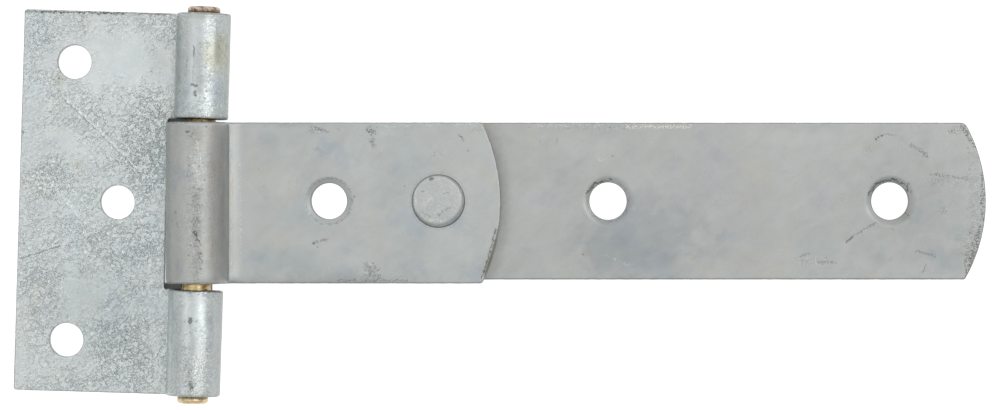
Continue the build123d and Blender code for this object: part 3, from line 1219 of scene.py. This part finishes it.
def brass(name):
    """Brass: golden below, coppery and stained at the upper end, with a painted shadow under the upper peen,
    and painted shade and painted streaks of shade in the gaps.
    """
    material, tree, shader, place, _ = finish_material(name)
    along = add(tree, "ShaderNodeSeparateXYZ", {0: place}).outputs[1]
    tarnish = cloud(tree, place, size=2.4, detail=3.0, roughness=0.6)
    tarnish = step_between(tree, tarnish, 0.5, 0.68)
    tarnish_share, speck_share, soft_edge = 0.5, 0.5, 0.5
    colour = mixed(tree, product(tree, tarnish, tarnish_share), golden, tarnished)
    copper = step_between(tree, along, copper_from, copper_full)
    stains = cloud(tree, place, size=1.5, detail=3.0, roughness=0.6)
    stains = step_between(tree, stains, 0.48, 0.64)
    colour = mixed(tree, copper, colour, mixed(tree, stains, coppery, stained))
    # Painted shadow under the upper peened head, and painted shade on the pin in the gaps between the
    # knuckles, darkest in the upper gap.
    under_peen = step_between(tree, along, peen_start, peen_start - soft_edge)
    colour = toned(tree, product(tree, copper, under_peen), colour, peen_shadow_tone)
    in_gap = step_between(tree, calc(tree, "ABSOLUTE", along), gap_gone, gap_full)
    colour = toned(tree, in_gap, colour, gap_shade_tone)
    in_upper_gap = product(tree, in_gap, step_between(tree, along, 0.0, 1.0))
    colour = toned(tree, in_upper_gap, colour, upper_gap_shade_tone)
    # Painted streaks of shade across the pin in the gaps, standing in for the stripes of its reflections.
    across_pin = drawn_out(tree, place, angle=1.57, along=8.0, across=1.0)
    streaks = cloud(tree, across_pin, size=1.6, detail=2.0, roughness=0.5)
    streaks = product(tree, step_between(tree, streaks, 0.44, 0.6), in_gap)
    colour = toned(tree, streaks, colour, gap_streak_shade)
    specks = step_between(tree, cloud(tree, place, size=0.6, detail=2.0), 0.58, 0.7)
    colour = mixed(tree, product(tree, specks, speck_share), colour, dark_speck)
    gloss = step_between(tree, tarnish, 0.0, 1.0, to_low=0.14, to_high=0.35)
    height = cloud(tree, place, size=0.9, detail=3.0, roughness=0.6)
    wire_finish(tree, shader, colour, gloss, height, strength=0.5)
    return material


# Tones are what a stained or marked place, or a place of painted shade or painted highlight, multiplies the
# coat's own colour by.
dark = (0.5, 0.49, 0.48)
faint = (0.72, 0.72, 0.72)
slight = (0.9, 0.9, 0.9)
pale = (1.25, 1.26, 1.25)
lighter = (1.06, 1.06, 1.06)
blue = (0.9, 0.93, 0.955)
pink = (1.02, 0.99, 0.97)
violet = (0.975, 0.96, 0.995)
grimy_edge = (0.56, 0.53, 0.51)
dirty_pit = (0.6, 0.59, 0.58)
torn_metal = (0.95, 0.93, 0.9)
# Painted shade for steep faces: darker on the leaf, none on the strap, plate and rivet.
shaded_side = (0.82, 0.82, 0.81)
unshaded_side = (1.0, 1.0, 1.0)

# Rough places have a centre, a reach both ways, a softness and how much rougher they are.
# Patches have a centre, a reach both ways, a softness and a tone.
# Marks have a start, an end, a width, how far flecks break them up, and a tone.
# Rings have a centre, a radius, a width, how far flecks break them up, and a tone.
strap_rough = {
    "upper edge": ((128, 24), (30, 2.4), 0.8, 0.6),
    "tip": ((246, 0), (3.5, 26), 0.8, 0.7),
    "corner above the tip": ((240, 22.6), (4, 2.2), 0.6, 1.0),
    "lower corner of the tip": ((245, -16), (3, 8), 0.7, 0.9),
    "under the curved scratch": ((194, -19), (7, 1.6), 0.7, 0.8),
    "right of the tip hole": ((236.6, -3.2), (2, 2.6), 0.7, 0.9),
    "near the tip": ((236, 7), (7, 3.4), 0.8, 0.7),
    "low by the tip": ((230, -21), (3, 3.4), 0.7, 0.3),
}
strap_patches = {
    "bluish patch right of the middle hole": ((140, -12), (28, 20), 0.7, (0.84, 0.86, 0.89)),
    "grey middle of the strap": ((172, -8), (20, 20), 1.0, (0.95, 0.95, 0.955)),
    "grey patch under the middle hole": ((131, -18), (13, 9), 0.6, (0.94, 0.95, 0.96)),
    "violet cast above it": ((163, 8), (14, 10), 0.9, violet),
    "warm patch in the middle": ((178, 7), (9, 8), 0.9, pink),
    "warm patch at the lower edge": ((177, -20), (14, 6), 0.9, pink),
    "bluish patch before the tip hole": ((196, -12), (12, 12), 0.8, (0.94, 0.96, 0.975)),
    "bluish spot under the tip hole": ((216.5, -17.3), (2.5, 4), 0.8, blue),
    "bluish corner at the tip": ((238, -19), (8, 6), 0.8, (0.87, 0.9, 0.93)),
    "bluish place at the tip": ((242, -10), (5, 5), 0.9, blue),
    "shade round the tip hole": ((226, -2), (34, 34), 1.0, (0.87, 0.88, 0.885)),
    "brown stain in the tip hole's rim": ((224, -4.5), (3, 3.2), 0.6, (0.95, 0.91, 0.87)),
    "light patch above the middle hole": ((120, 18), (20, 7), 0.9, lighter),
    "light streak up to the middle hole": ((106, 0), (12, 8), 0.9, lighter),
    "light place at the upper edge": ((190, 20), (24, 4), 0.9, lighter),
}
strap_marks = {
    "worn flecks along the upper edge": ((136, 23.8), (156, 23.6), 0.9, 0.95, (1.5, 1.5, 1.46)),
    "more flecks along it": ((106, 24.2), (130, 24.0), 0.6, 1.0, pale),
    "flecks above the middle hole": ((126.6, 13.2), (129.0, 13.4), 0.8, 1.0, pale),
    "flecks right of the middle hole": ((133.4, 0.6), (138.6, -2.6), 0.8, 1.05, pale),
    "curved scratch by the tip hole, upper": ((215.0, -6.9), (208.6, -10.6), 0.4, 0.62, faint),
    "curved scratch by the tip hole, lower": ((207.6, -11.2), (206.0, -12.7), 0.55, 0.45, dark),
    "mark left of the middle hole": ((113.8, 19.6), (113.2, 18.2), 0.35, 0.5, faint),
    "pale scratch under the middle hole": ((128.6, -17.0), (136.8, -20.6), 0.32, 0.55, pale),
    "second pale scratch": ((133.5, -19.2), (137.6, -20.2), 0.25, 0.4, pale),
    "scratch at the tip's lower corner": ((243.2, -18.6), (243.6, -24.0), 0.3, 0.4, faint),
    "hooked scratch there": ((230.9, -20.2), (229.8, -22.6), 0.35, 0.4, faint),
    "mark above the tip hole, left": ((214.8, 19.6), (216.8, 20.8), 0.45, 0.6, dark),
    "mark above the tip hole, right": ((216.8, 21.2), (221.2, 20.8), 0.45, 0.7, faint),
    "second mark above the tip hole": ((226.0, 17.8), (231.0, 15.0), 0.7, 0.75, faint),
    "end of the second mark": ((229.8, 14.6), (231.4, 14.4), 0.7, 0.8, faint),
    "nick beside the tip hole": ((225.0, 5.6), (224.8, 3.4), 0.5, 0.4, dark),
    "nick at its lower right": ((224.4, -3.4), (225.8, -5.4), 0.5, 0.7, faint),
    "marks under the curved scratch": ((190.6, -17.6), (194.4, -16.6), 0.5, 0.85, faint),
    "marks right of those": ((196, -19.4), (202, -19.6), 0.6, 0.9, faint),
    "marks near the tip": ((232, 8.6), (244, 7.2), 0.7, 0.95, faint),
    "marks low by the tip": ((228, -16), (234, -17.5), 0.6, 0.9, faint),
    # Painted shade: the dark crescent at the upper left and top of each dished hole.
    "painted shade at the middle hole's upper left": ((123.2, 2.4), (125.5, 5.4), 0.6, 0.5, dark),
    "painted shade above the middle hole": ((125.5, 5.4), (130.6, 6.9), 0.6, 0.5, dark),
    "painted shade at the tip hole's upper left": ((212.8, 2.2), (215.4, 5.8), 0.6, 0.5, dark),
    "painted shade above the tip hole": ((215.4, 5.8), (220.4, 6.8), 0.65, 0.4, dark),
    "painted shade at its upper right": ((220.4, 6.8), (224.4, 5.0), 0.6, 0.55, dark),
    "specks at the tip's upper corner": ((242.6, 24.0), (246.4, 17.0), 1.0, 1.05, dark),
    "specks along the tip": ((248.6, 9.0), (249.0, -6.0), 0.8, 1.1, dark),
    "specks at the tip's lower corner": ((248.2, -8.0), (244.2, -22.5), 1.3, 1.05, dark),
}
lap_end = (plate_high.x - plate_end_radius, (plate_low.y + plate_high.y) / 2)
middle_spot, middle_radius = hole("strap_hole_middle")
lap_spot, lap_hole_radius = hole("strap_hole_near")
strap_rings = {
    # Painted shadow that the lap's end casts on the strap.
    "painted shadow along the lap's end": (lap_end, plate_end_radius + 0.6, 4.2, 0.1, (0.85, 0.835, 0.82)),
    "grime in the middle hole's dish": (middle_spot, middle_radius + 0.6, 0.7, 0.9, faint),
}
plate_rough = {
    "pitted band on the knuckle": ((-0.9, -0.6), (3.8, 34), 0.8, 0.8),
    "whole knuckle": ((0, -0.6), (11, 40), 0.3, 0.3),
    "rough place at the upper side": ((54.6, 20.5), (1.8, 3.2), 0.5, 1.2),
    "scuff at the upper edge": ((36.6, 22.6), (4.6, 2.0), 0.6, 1.1),
    "rough place at the lower side": ((54.6, -22), (3.4, 3), 0.6, 1.2),
    "scuff above the lap's hole": ((38, 16.4), (3, 2), 0.8, 0.8),
    "lower side": ((56, -24.6), (16, 1.4), 0.8, 0.9),
    "lap's upper corner": ((88, 22.6), (4, 2), 0.8, 0.8),
}
plate_patches = {
    "brown cast on the knuckle": ((0, -0.6), (11.2, 60), 0.15, (0.985, 0.965, 0.955)),
    # Painted shade, faintly brown, on the knuckle's right side.
    "painted shade, faintly brown, on the knuckle's right side": ((5.9, 0), (3.4, 40), 0.45, (0.915, 0.9, 0.893)),
    # Painted highlight at the foot of the S-bend's ramp.
    "painted highlight at the foot of the ramp": ((15, 0), (5.5, 28), 0.9, (1.05, 1.04, 1.04)),
    "shade along the upper edge": ((27, 25), (16, 2.6), 0.9, (0.88, 0.88, 0.88)),
    # Painted highlight on the ramp.
    "painted highlight on the ramp": ((10.6, 12), (1.6, 18), 0.7, (1.06, 1.055, 1.05)),
    # Painted highlight on the knuckle's crest, partly the coat's own worn tone.
    "painted highlight on the knuckle's crest": ((0.2, 9), (2.4, 10), 0.8, (1.12, 1.13, 1.12)),
    "grey end of the knuckle": ((-0.4, 22), (6, 4), 0.7, slight),
    "bluish patch by the knuckle": ((22, 19), (5.5, 4), 0.8, blue),
    "bluish corner": ((29, 20), (12, 4), 0.9, (0.95, 0.97, 0.98)),
    "bluish patch round the lap's hole": ((34, -4), (12, 10), 0.9, (0.94, 0.97, 0.985)),
    "bluish patch at the lower side": ((28, -19), (18, 7), 0.9, (0.89, 0.92, 0.94)),
    "shade along the lower side": ((48, -26), (46, 7), 0.9, (0.86, 0.87, 0.88)),
    "bluish patch before the rivet": ((66, 10), (14, 10), 0.9, (0.94, 0.965, 0.985)),
    "bluish patch under the rivet": ((70, -14), (12, 7), 0.9, (0.95, 0.97, 0.98)),
    "warm middle": ((24, 6), (10, 10), 0.9, (1.02, 1.01, 0.99)),
    "light middle beyond the hole": ((52, 10), (7, 6), 0.9, lighter),
    "light place at the lap's end": ((85, 8), (6, 10), 0.9, lighter),
    "light place by the upper edge": ((62, 22), (9, 2), 0.9, lighter),
}
plate_marks = {
    "light rim at the knuckle's upper end": ((-9.8, 24.2), (9.4, 24.2), 0.55, 0.7, (1.12, 1.12, 1.11)),
    "light rim at its lower end": ((-9.0, -25.2), (8.0, -25.2), 0.5, 0.8, (1.1, 1.1, 1.09)),
    # Painted highlight in flecks down the crest, partly the coat's own worn tone.
    "painted highlight flecks on the crest": ((0.6, 16), (0.8, 0), 1.4, 1.15, (1.16, 1.16, 1.15)),
    "painted highlight flecks lower on the crest": ((0.8, -8), (0.8, -23), 1.8, 1.2, (1.2, 1.2, 1.2)),
    "dark flecks down the crest": ((0.2, 2), (0.4, -24), 1.8, 1.15, faint),
    "dark hook on the crest": ((-1.0, 4.6), (1.8, 3.4), 0.5, 0.5, faint),
    "dark worm on the crest": ((-0.6, -9.4), (1.0, -12.4), 0.5, 0.35, dark),
    "dark worm below it": ((1.0, -16.4), (2.2, -19.6), 0.4, 0.5, faint),
    # Painted highlight in strokes on the crest, partly the coat's own worn tone.
    "painted highlight strokes on the crest": ((0.2, 19), (2.4, 9), 0.6, 0.65, (1.3, 1.3, 1.29)),
    "more painted highlight strokes": ((-2.0, 15), (1.4, 7), 0.5, 0.7, (1.24, 1.24, 1.23)),
    "painted highlight strokes low on the crest": ((-1.4, -13), (1.2, -22), 0.6, 0.7, (1.24, 1.24, 1.23)),
    "dark strokes left of the crest": ((-6.6, -3), (-5.8, -8), 0.5, 0.85, faint),
    "dark dot at the knuckle's upper end": ((-2.8, 21.8), (-2.6, 21.7), 0.6, 0.1, dark),
    # Painted shade in flecks right of the crest.
    "painted shade in flecks right of the crest": ((5.0, 14), (5.6, -20), 1.6, 1.3, slight),
    # Painted highlight along the ramp and at its foot.
    "painted highlight flecks at the foot of the ramp": ((13.0, 12), (13.4, -20), 0.7, 1.1, (1.2, 1.2, 1.2)),
    "painted highlight line along the ramp": ((10.2, 22), (10.4, -22), 0.7, 0.6, (1.12, 1.12, 1.1)),
    "chain of nicks under the lap's hole": ((36.2, -13.4), (40.6, -12.0), 0.6, 0.6, faint),
    "scuff at the upper edge": ((35.6, 23.2), (41.0, 22.0), 0.7, 0.9, faint),
    "scuff at the upper rough place": ((53.6, 23.2), (55.6, 17.0), 1.0, 0.95, faint),
    "dark spot there": ((53.4, 22.6), (55.8, 22.0), 0.7, 0.6, faint),
    "scuff at the lower rough place": ((53.0, -20.2), (57.0, -24.2), 1.2, 0.9, faint),
    "pale flecks among it": ((53.4, -21.0), (57.0, -22.8), 0.9, 1.1, pale),
    "hooked mark by the lap's end": ((82.6, 21.2), (83.8, 19.0), 0.45, 0.5, faint),
    "line along the torn end": ((94.2, -9.0), (89.6, -24.6), 0.35, 0.45, dark),
    "second line along it": ((93.6, -13.0), (90.8, -21.0), 0.3, 0.6, faint),
    # A darker line along the lap's lower rim.
    "dark line along the lap's lower side": ((44, -25.2), (66, -25.2), 0.5, 0.9, faint),
    "flecks along the upper edge": ((58, 24.2), (88, 24.2), 0.6, 1.0, (1.14, 1.14, 1.13)),
    "light line along the upper edge": ((59, 23.6), (69, 23.9), 0.3, 0.5, (1.16, 1.16, 1.15)),
}
plate_rings = {
    "grime in the lap hole's dish": (lap_spot, lap_hole_radius + 1.6, 0.8, 0.9, faint),
    # Painted shade round the foot of the rivet's head.
    "painted shade round the rivet's foot": (rivet_spot, head_radius + 0.5, 0.6, 0.6, slight),
}
rivet_marks = {
    "pit at the head's upper edge": ((73.4, 7.0), (74.0, 7.1), 0.75, 0.3, dark),
    "dot left on the head": ((71.0, 3.2), (71.1, 3.1), 0.5, 0.2, faint),
    "flecks at its lower left": ((70.4, -3.6), (73.2, -5.0), 0.8, 0.9, faint),
    "flecks at its lower right": ((75.8, -4.4), (79.6, -2.2), 0.7, 0.95, faint),
    "scratch to the right": ((77.4, 2.6), (79.4, 2.9), 0.3, 0.5, faint),
    "light blotch": ((71.4, -0.6), (73.6, 0.6), 1.4, 0.5, (1.12, 1.12, 1.11)),
    # Painted highlights along the head's left, right and upper rims.
    "painted highlight on the head's left rim": ((68.8, 3.6), (68.6, -3.0), 0.5, 0.6, (1.2, 1.2, 1.19)),
    "painted highlight on the head's right rim": ((83.0, 3.4), (83.0, -2.6), 0.45, 0.6, (1.16, 1.16, 1.15)),
    "painted highlight on the head's upper rim": ((72.0, 6.6), (78.6, 7.0), 0.45, 0.7, (1.16, 1.16, 1.15)),
    "light flecks below": ((71.5, -5.8), (77.5, -6.4), 0.8, 1.0, pale),
}
leaf_rough = {
    "rough strip left of the notch": ((-18, 18), (10, 22), 0.7, 0.9),
    "rough place at the left": ((-48, 7), (11, 10), 0.7, 0.7),
    "rough upper left": ((-51, 52), (8, 7), 0.7, 0.5),
    "rough along the long scratch": ((-34, 24), (9, 9), 0.8, 0.4),
    "rough place at the lower right": ((-24, -46), (13, 12), 0.7, 0.9),
    "rough lower middle": ((-24, -14), (14, 11), 0.8, 0.6),
    "rough lower left": ((-50, -30), (9, 22), 0.8, 0.5),
    "rough lower edge": ((-34, -58), (26, 4), 0.8, 0.5),
    "smooth upper middle": ((-26, 45), (22, 14), 0.8, -0.6),
    "smooth left of the middle": ((-38, 18), (9, 9), 0.8, -0.4),
    "smooth spot in the lower half": ((-40, -28), (6, 5), 0.8, -0.4),
    "smooth upper knuckle": ((2, 44), (8, 20), 0.6, -0.5),
    "smooth lower knuckle": ((1, -40), (8, 14), 0.6, -0.4),
}
leaf_patches = {
    "tan stain at the upper hole": ((-44.6, 38.8), (3.4, 3.2), 0.9, (0.87, 0.84, 0.75)),
    "faint brown stain": ((-38.5, 11.5), (3.4, 3.4), 0.9, (0.97, 0.94, 0.9)),
    "shade in the lower half": ((-32, -34), (28, 28), 1.0, (0.87, 0.88, 0.89)),
    "light upper part": ((-30, 42), (30, 22), 1.0, (1.05, 1.05, 1.05)),
    "grey at the upper right": ((-14, 46), (6, 14), 0.9, (0.94, 0.93, 0.93)),
    "violet cast in the lower half": ((-27, -34), (5, 6), 0.9, (0.96, 0.95, 1.0)),
    "tan stain on the upper knuckle": ((8.0, 47.2), (7.2, 8.6), 0.6, (0.93, 0.885, 0.76)),
    "bluish patch on the upper knuckle": ((6.8, 35), (3.4, 5.6), 0.6, (0.9, 0.93, 0.98)),
    # Painted shade across the upper knuckle's highlight, and at both of its ends.
    "painted shade across its highlight": ((3.6, 49.5), (3, 2.4), 0.8, (0.88, 0.88, 0.87)),
    "second painted shade across it": ((2.6, 38.2), (3, 1.6), 0.8, (0.88, 0.88, 0.88)),
    "third painted shade across it": ((2.4, 31.6), (3, 1.4), 0.8, (0.9, 0.9, 0.9)),
    "painted shade at the upper knuckle's upper end": ((2, 58.6), (9, 1.8), 0.8, (0.84, 0.82, 0.8)),
    "painted shade at the upper knuckle's lower end": ((0, 26.6), (9, 1.4), 0.8, (0.86, 0.85, 0.84)),
    # Painted shade across the lower knuckle's highlight.
    "painted shade across the lower highlight": ((1.0, -50), (3, 2.0), 0.8, (0.92, 0.92, 0.92)),
    # Painted highlights on the knuckles, painted shade on their crests and flanks, and painted light in the
    # seam beside the lower knuckle.
    "painted highlight low on the upper knuckle": ((2.4, 30), (3.4, 6), 0.8, (1.1, 1.1, 1.1)),
    "painted highlight on the lower knuckle's crest": ((0.4, -46), (3.0, 22), 0.8, (1.08, 1.08, 1.08)),
    "painted shade on the upper knuckle's crest": ((0.6, 42), (2.2, 24), 0.9, (0.8, 0.8, 0.8)),
    "painted shade on the lower knuckle's crest": ((-1.3, -46), (1.8, 24), 0.9, (0.84, 0.84, 0.84)),
    "painted shade on the upper knuckle's left side": ((-5.4, 42), (4, 22), 0.8, (0.84, 0.85, 0.845)),
    "painted shade on the lower knuckle's left side": ((-5.8, -46), (2.4, 22), 0.8, (0.87, 0.88, 0.875)),
    "painted light in the seam beside the lower knuckle": ((-9.2, -46), (1.3, 22), 0.5, (1.4, 1.4, 1.4)),
    "painted shade on the lower knuckle's right side": ((6.4, -46), (3.0, 24), 0.7, (0.94, 0.94, 0.94)),
    "painted highlight on the lower knuckle's right flank": ((2.0, -44), (1.7, 20), 0.7, (1.14, 1.14, 1.14)),
    "light upper part of the lower knuckle": ((-3.2, -33), (1.2, 5), 0.8, (1.1, 1.1, 1.1)),
}
leaf_marks = {
    "dark line along the upper edge": ((-56.5, 60.4), (-8.6, 59.3), 0.42, 0.25, (0.6, 0.57, 0.55)),
    "grime on it": ((-50, 60.2), (-24, 59.6), 0.6, 0.8, dark),
    "worm marks left on the upper knuckle": ((-7.0, 42.0), (-5.2, 37.6), 0.5, 0.7, faint),
    "more worm marks there": ((-6.4, 47.6), (-5.6, 45.0), 0.4, 0.6, faint),
    "blotch on the lower knuckle": ((-1.9, -37.0), (-2.1, -38.6), 1.0, 0.35, (0.4, 0.4, 0.39)),
    "long scratch in the lower half, left": ((-57.4, -18.3), (-44.5, -14.4), 0.3, 0.35, dark),
    "long scratch in the lower half, right": ((-42.5, -14.0), (-25.5, -7.6), 0.26, 0.5, faint),
    "light scratch under the upper hole": ((-43.4, 33.3), (-33.8, 24.4), 0.45, 0.2, pale),
    "dark scratch beside it": ((-43.7, 32.8), (-34.1, 23.9), 0.3, 0.35, faint),
    "light scratch going on": ((-33.8, 24.4), (-19.2, 9.7), 0.45, 0.35, pale),
    "dark scratch beside that": ((-34.1, 23.9), (-19.5, 9.2), 0.3, 0.45, faint),
    "light scratches at the left": ((-46, 4), (-36.5, -7), 0.4, 0.4, pale),
    "more light scratches there": ((-49, 9), (-40, -2), 0.35, 0.45, pale),
    "third light scratch there": ((-44.5, 8), (-34.5, -3), 0.3, 0.5, pale),
    "nick at the left edge": ((-56.6, 22.2), (-56.0, 21.8), 0.7, 0.3, dark),
    "mark at the left edge below": ((-56.6, -11.5), (-55.6, -14.0), 0.5, 0.6, faint),
    "crack on the upper knuckle": ((-1.0, 48.8), (-0.6, 45.6), 0.35, 0.3, dark),
    "crack going on": ((-0.8, 45.6), (-1.2, 37.0), 0.25, 0.6, faint),
    "crack beside it": ((-3.2, 45), (-3.6, 36.4), 0.22, 0.6, faint),
    "blotch on the upper knuckle": ((-1.4, 36.6), (-0.2, 36.4), 0.7, 0.2, dark),
    "second blotch on it": ((-0.5, 34.1), (-0.3, 33.2), 0.65, 0.2, dark),
    # Painted glints on the upper knuckle's highlight.
    "painted glints at its lower end": ((0.8, 33), (2.6, 27), 2.0, 0.9, pale),
    "painted glints on its highlight": ((2.4, 57), (2.8, 44), 1.0, 0.9, (1.14, 1.14, 1.14)),
    "blotch at the lower knuckle's end": ((-1.8, -57.4), (-1.5, -58.9), 0.8, 0.2, dark),
    "dark flecks down the lower knuckle": ((-3.4, -46), (-2.6, -60), 2.0, 0.95, faint),
    # Painted glints down the lower knuckle's highlight.
    "painted glints down the lower knuckle": ((0.0, -50), (0.2, -60), 1.8, 0.9, pale),
}

leaf_coat = {
    "rough spread": (0.12, 0.78),
    "Metal": (0.642, 0.69, 0.684, 1),
    "Cool": (0.609, 0.67, 0.679, 1),
    "Warm": (0.654, 0.688, 0.669, 1),
    "Cloud Size": 9.0,
    "Cloud Depth": 0.3,
    "Wrinkle Size": 1.15,
    "Wrinkle Depth": 0.85,
    "Grain Depth": 0.15,
    "Streak Depth": 0.1,
}
strap_coat = {
    "rough spread": (0.55, 0.95),
    "Metal": (0.462, 0.477, 0.465, 1),
    "Cool": (0.428, 0.452, 0.46, 1),
    "Warm": (0.474, 0.475, 0.454, 1),
    "Cloud Size": 8.0,
    "Cloud Depth": 0.3,
    "Wrinkle Size": 1.6,
    "Wrinkle Depth": 0.5,
    "Grain Depth": 0.07,
    "Streak Depth": 0.03,
}
plate_coat = {
    **strap_coat,
    "Metal": (0.497, 0.519, 0.508, 1),
    "Cool": (0.447, 0.483, 0.503, 1),
    "Warm": (0.512, 0.517, 0.492, 1),
}
rivet_rough = {"whole head": ((rivet_spot.x, 0), (12, 12), 0.3, 0.35)}
rivet_patches = {"whole head": ((rivet_spot.x, 0), (12, 12), 0.3, (1.04, 1.04, 1.04))}

galvanised_leaf = zinc(
    "galvanised_leaf",
    leaf_coat,
    roughness=(0.25, 0.35),
    painted_side_tone=shaded_side,
    rough_places=leaf_rough,
    patches=leaf_patches,
    marks=leaf_marks,
    rings={},
)
zinc_strap = zinc(
    "zinc_strap",
    strap_coat,
    roughness=(0.4, 0.5),
    painted_side_tone=unshaded_side,
    rough_places=strap_rough,
    patches=strap_patches,
    marks=strap_marks,
    rings=strap_rings,
)
zinc_plate = zinc(
    "zinc_plate",
    plate_coat,
    roughness=(0.4, 0.5),
    painted_side_tone=unshaded_side,
    rough_places=plate_rough,
    patches=plate_patches,
    marks=plate_marks,
    rings=plate_rings,
)
zinc_rivet = zinc(
    "zinc_rivet",
    plate_coat,
    roughness=(0.4, 0.5),
    painted_side_tone=unshaded_side,
    rough_places=rivet_rough,
    patches=rivet_patches,
    marks=rivet_marks,
    rings={},
)
brass_pin = brass("brass_pin")

for maker, node, body, slot, material in (
    (make_leaf, "leaf", "leaf", "galvanised_leaf", galvanised_leaf),
    (make_pin, "pin", "leaf", "brass_pin", brass_pin),
    (make_knuckle_plate, "knuckle_plate", "strap", "zinc_strap", zinc_plate),
    (make_long_strap, "long_strap", "strap", "zinc_strap", zinc_strap),
    (make_rivet, "rivet", "strap", "zinc_strap", zinc_rivet),
):
    piece = maker()
    piece.data.materials.append(material)
    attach(piece, body)
    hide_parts(node)


# Studio: a white table, a soft dome and one soft box


def make_table():
    """A white table under the hinge, white to the eye and in reflections, with painted shade under the
    notch.
    """
    reach, drop = 6000 * MM, -0.05 * MM
    in_metal, on_hinge, floor_grey = 0.72, 0.6, (0.2, 0.2, 0.2, 1)
    mesh = bpy.data.meshes.new("white_table")
    sheet = [(-reach, -reach, drop), (reach, -reach, drop), (reach, reach, drop), (-reach, reach, drop)]
    mesh.from_pydata(sheet, [], [(0, 1, 2, 3)])
    table = bpy.data.objects.new("white_table", mesh)
    bpy.context.scene.collection.objects.link(table)
    material = bpy.data.materials.new("white_table")
    material.use_nodes = True
    tree = material.node_tree
    shader = next(n for n in tree.nodes if n.type == "BSDF_PRINCIPLED")
    shader.inputs["Base Color"].default_value = floor_grey
    shader.inputs["Roughness"].default_value = 0.9
    shader.inputs["Specular IOR Level"].default_value = 0.0
    rays = add(tree, "ShaderNodeLightPath")
    seen = calc(tree, "MAXIMUM", rays.outputs["Is Camera Ray"], rays.outputs["Is Transmission Ray"])
    seen = calc(tree, "MAXIMUM", seen, product(tree, rays.outputs["Is Glossy Ray"], in_metal))
    seen = calc(tree, "MAXIMUM", seen, on_hinge)
    place = scaled(tree, add(tree, "ShaderNodeTexCoord").outputs["Object"], 1 / MM)
    right, up, _ = add(tree, "ShaderNodeSeparateXYZ", {0: place}).outputs
    # Painted shade on the floor: its glow is cut under the notch, so the gaps between the knuckles look dark
    # as in shadow; the slit beside the strap's knuckle gets less of it.
    under = product(
        tree,
        step_between(tree, right, -plate_barrel - 4, -plate_barrel - 3),
        step_between(tree, right, 4.0, 3.4),
        step_between(tree, up, notch_bottom - 1.5, notch_bottom - 0.5),
        step_between(tree, up, notch_top + 1.5, notch_top + 0.5),
    )
    slit = product(
        tree,
        step_between(tree, right, -plate_barrel + 0.8, -plate_barrel + 0.2),
        step_between(tree, up, plate_low.y - 0.2, plate_low.y + 0.6),
        step_between(tree, up, plate_high.y + 0.2, plate_high.y - 0.6),
    )
    notch_shade, slit_relief = 0.97, 0.68
    shade = calc(tree, "MULTIPLY_ADD", slit, -slit_relief, notch_shade)
    open_floor = calc(tree, "SUBTRACT", 1.0, product(tree, under, shade))
    shader.inputs["Emission Color"].default_value = (1, 1, 1, 1)
    tree.links.new(product(tree, seen, open_floor), shader.inputs["Emission Strength"])
    mesh.materials.append(material)


def make_dome():
    """Soft light from all round: darker low in front and at the sides, a faint glow up on the left."""
    world = bpy.data.worlds.new("studio")
    bpy.context.scene.world = world
    world.use_nodes = True
    tree = world.node_tree
    background = next(n for n in tree.nodes if n.type == "BACKGROUND")
    toward = add(tree, "ShaderNodeTexCoord").outputs["Generated"]
    sideways = add(tree, "ShaderNodeSeparateXYZ", {0: toward}).outputs[0]
    to_back, to_glow = (-0.35, 0.94, 0.0), tuple(Vector((-0.47, 0.12, 0.88)).normalized())
    glow_edge, glow_core = cos(radians(24)), cos(radians(8))
    back = vector_calc(tree, "DOT_PRODUCT", toward, to_back)
    front = step_between(tree, back, -0.75, -0.05, to_low=0.6, to_high=0.9)
    sides = calc(tree, "ABSOLUTE", sideways)
    sides = step_between(tree, sides, 0.6, 0.95, to_low=1.0, to_high=0.7)
    glow = vector_calc(tree, "DOT_PRODUCT", toward, to_glow)
    glow = step_between(tree, glow, glow_edge, glow_core, to_low=0.0, to_high=0.12)
    background.inputs["Color"].default_value = (1, 1, 1, 1)
    tree.links.new(calc(tree, "MULTIPLY_ADD", front, sides, glow), background.inputs["Strength"])


def make_lamp(name, place, size, level):
    """A soft box that faces the hinge, of a plain brightness."""
    lamp = bpy.data.lights.new(name, "AREA")
    lamp.shape = "RECTANGLE"
    lamp.size, lamp.size_y = size[0] * MM, size[1] * MM
    lamp.energy = level * pi * lamp.size * lamp.size_y
    holder = bpy.data.objects.new(name, lamp)
    bpy.context.scene.collection.objects.link(holder)
    holder.location = Vector(place) * MM
    holder.rotation_euler = Vector(place).to_track_quat("Z", "Y").to_euler()


def make_camera():
    """Straight above the middle of the hinge."""
    view_centre = Vector((95.45, -1.24, 4.0))
    height, frame_width, film = 1200.0, 317.9, 36.0
    camera = bpy.data.cameras.new("camera")
    camera.sensor_width = film
    camera.lens = film * height / frame_width
    holder = bpy.data.objects.new("camera", camera)
    bpy.context.scene.collection.objects.link(holder)
    holder.location = (view_centre + Vector((0, 0, height))) * MM
    bpy.context.scene.camera = holder


make_table()
make_dome()
make_lamp("soft_box", place=(930, 260, 1290), size=(560, 1100), level=1.15)
make_camera()
bpy.context.scene.view_settings.view_transform = "Standard"
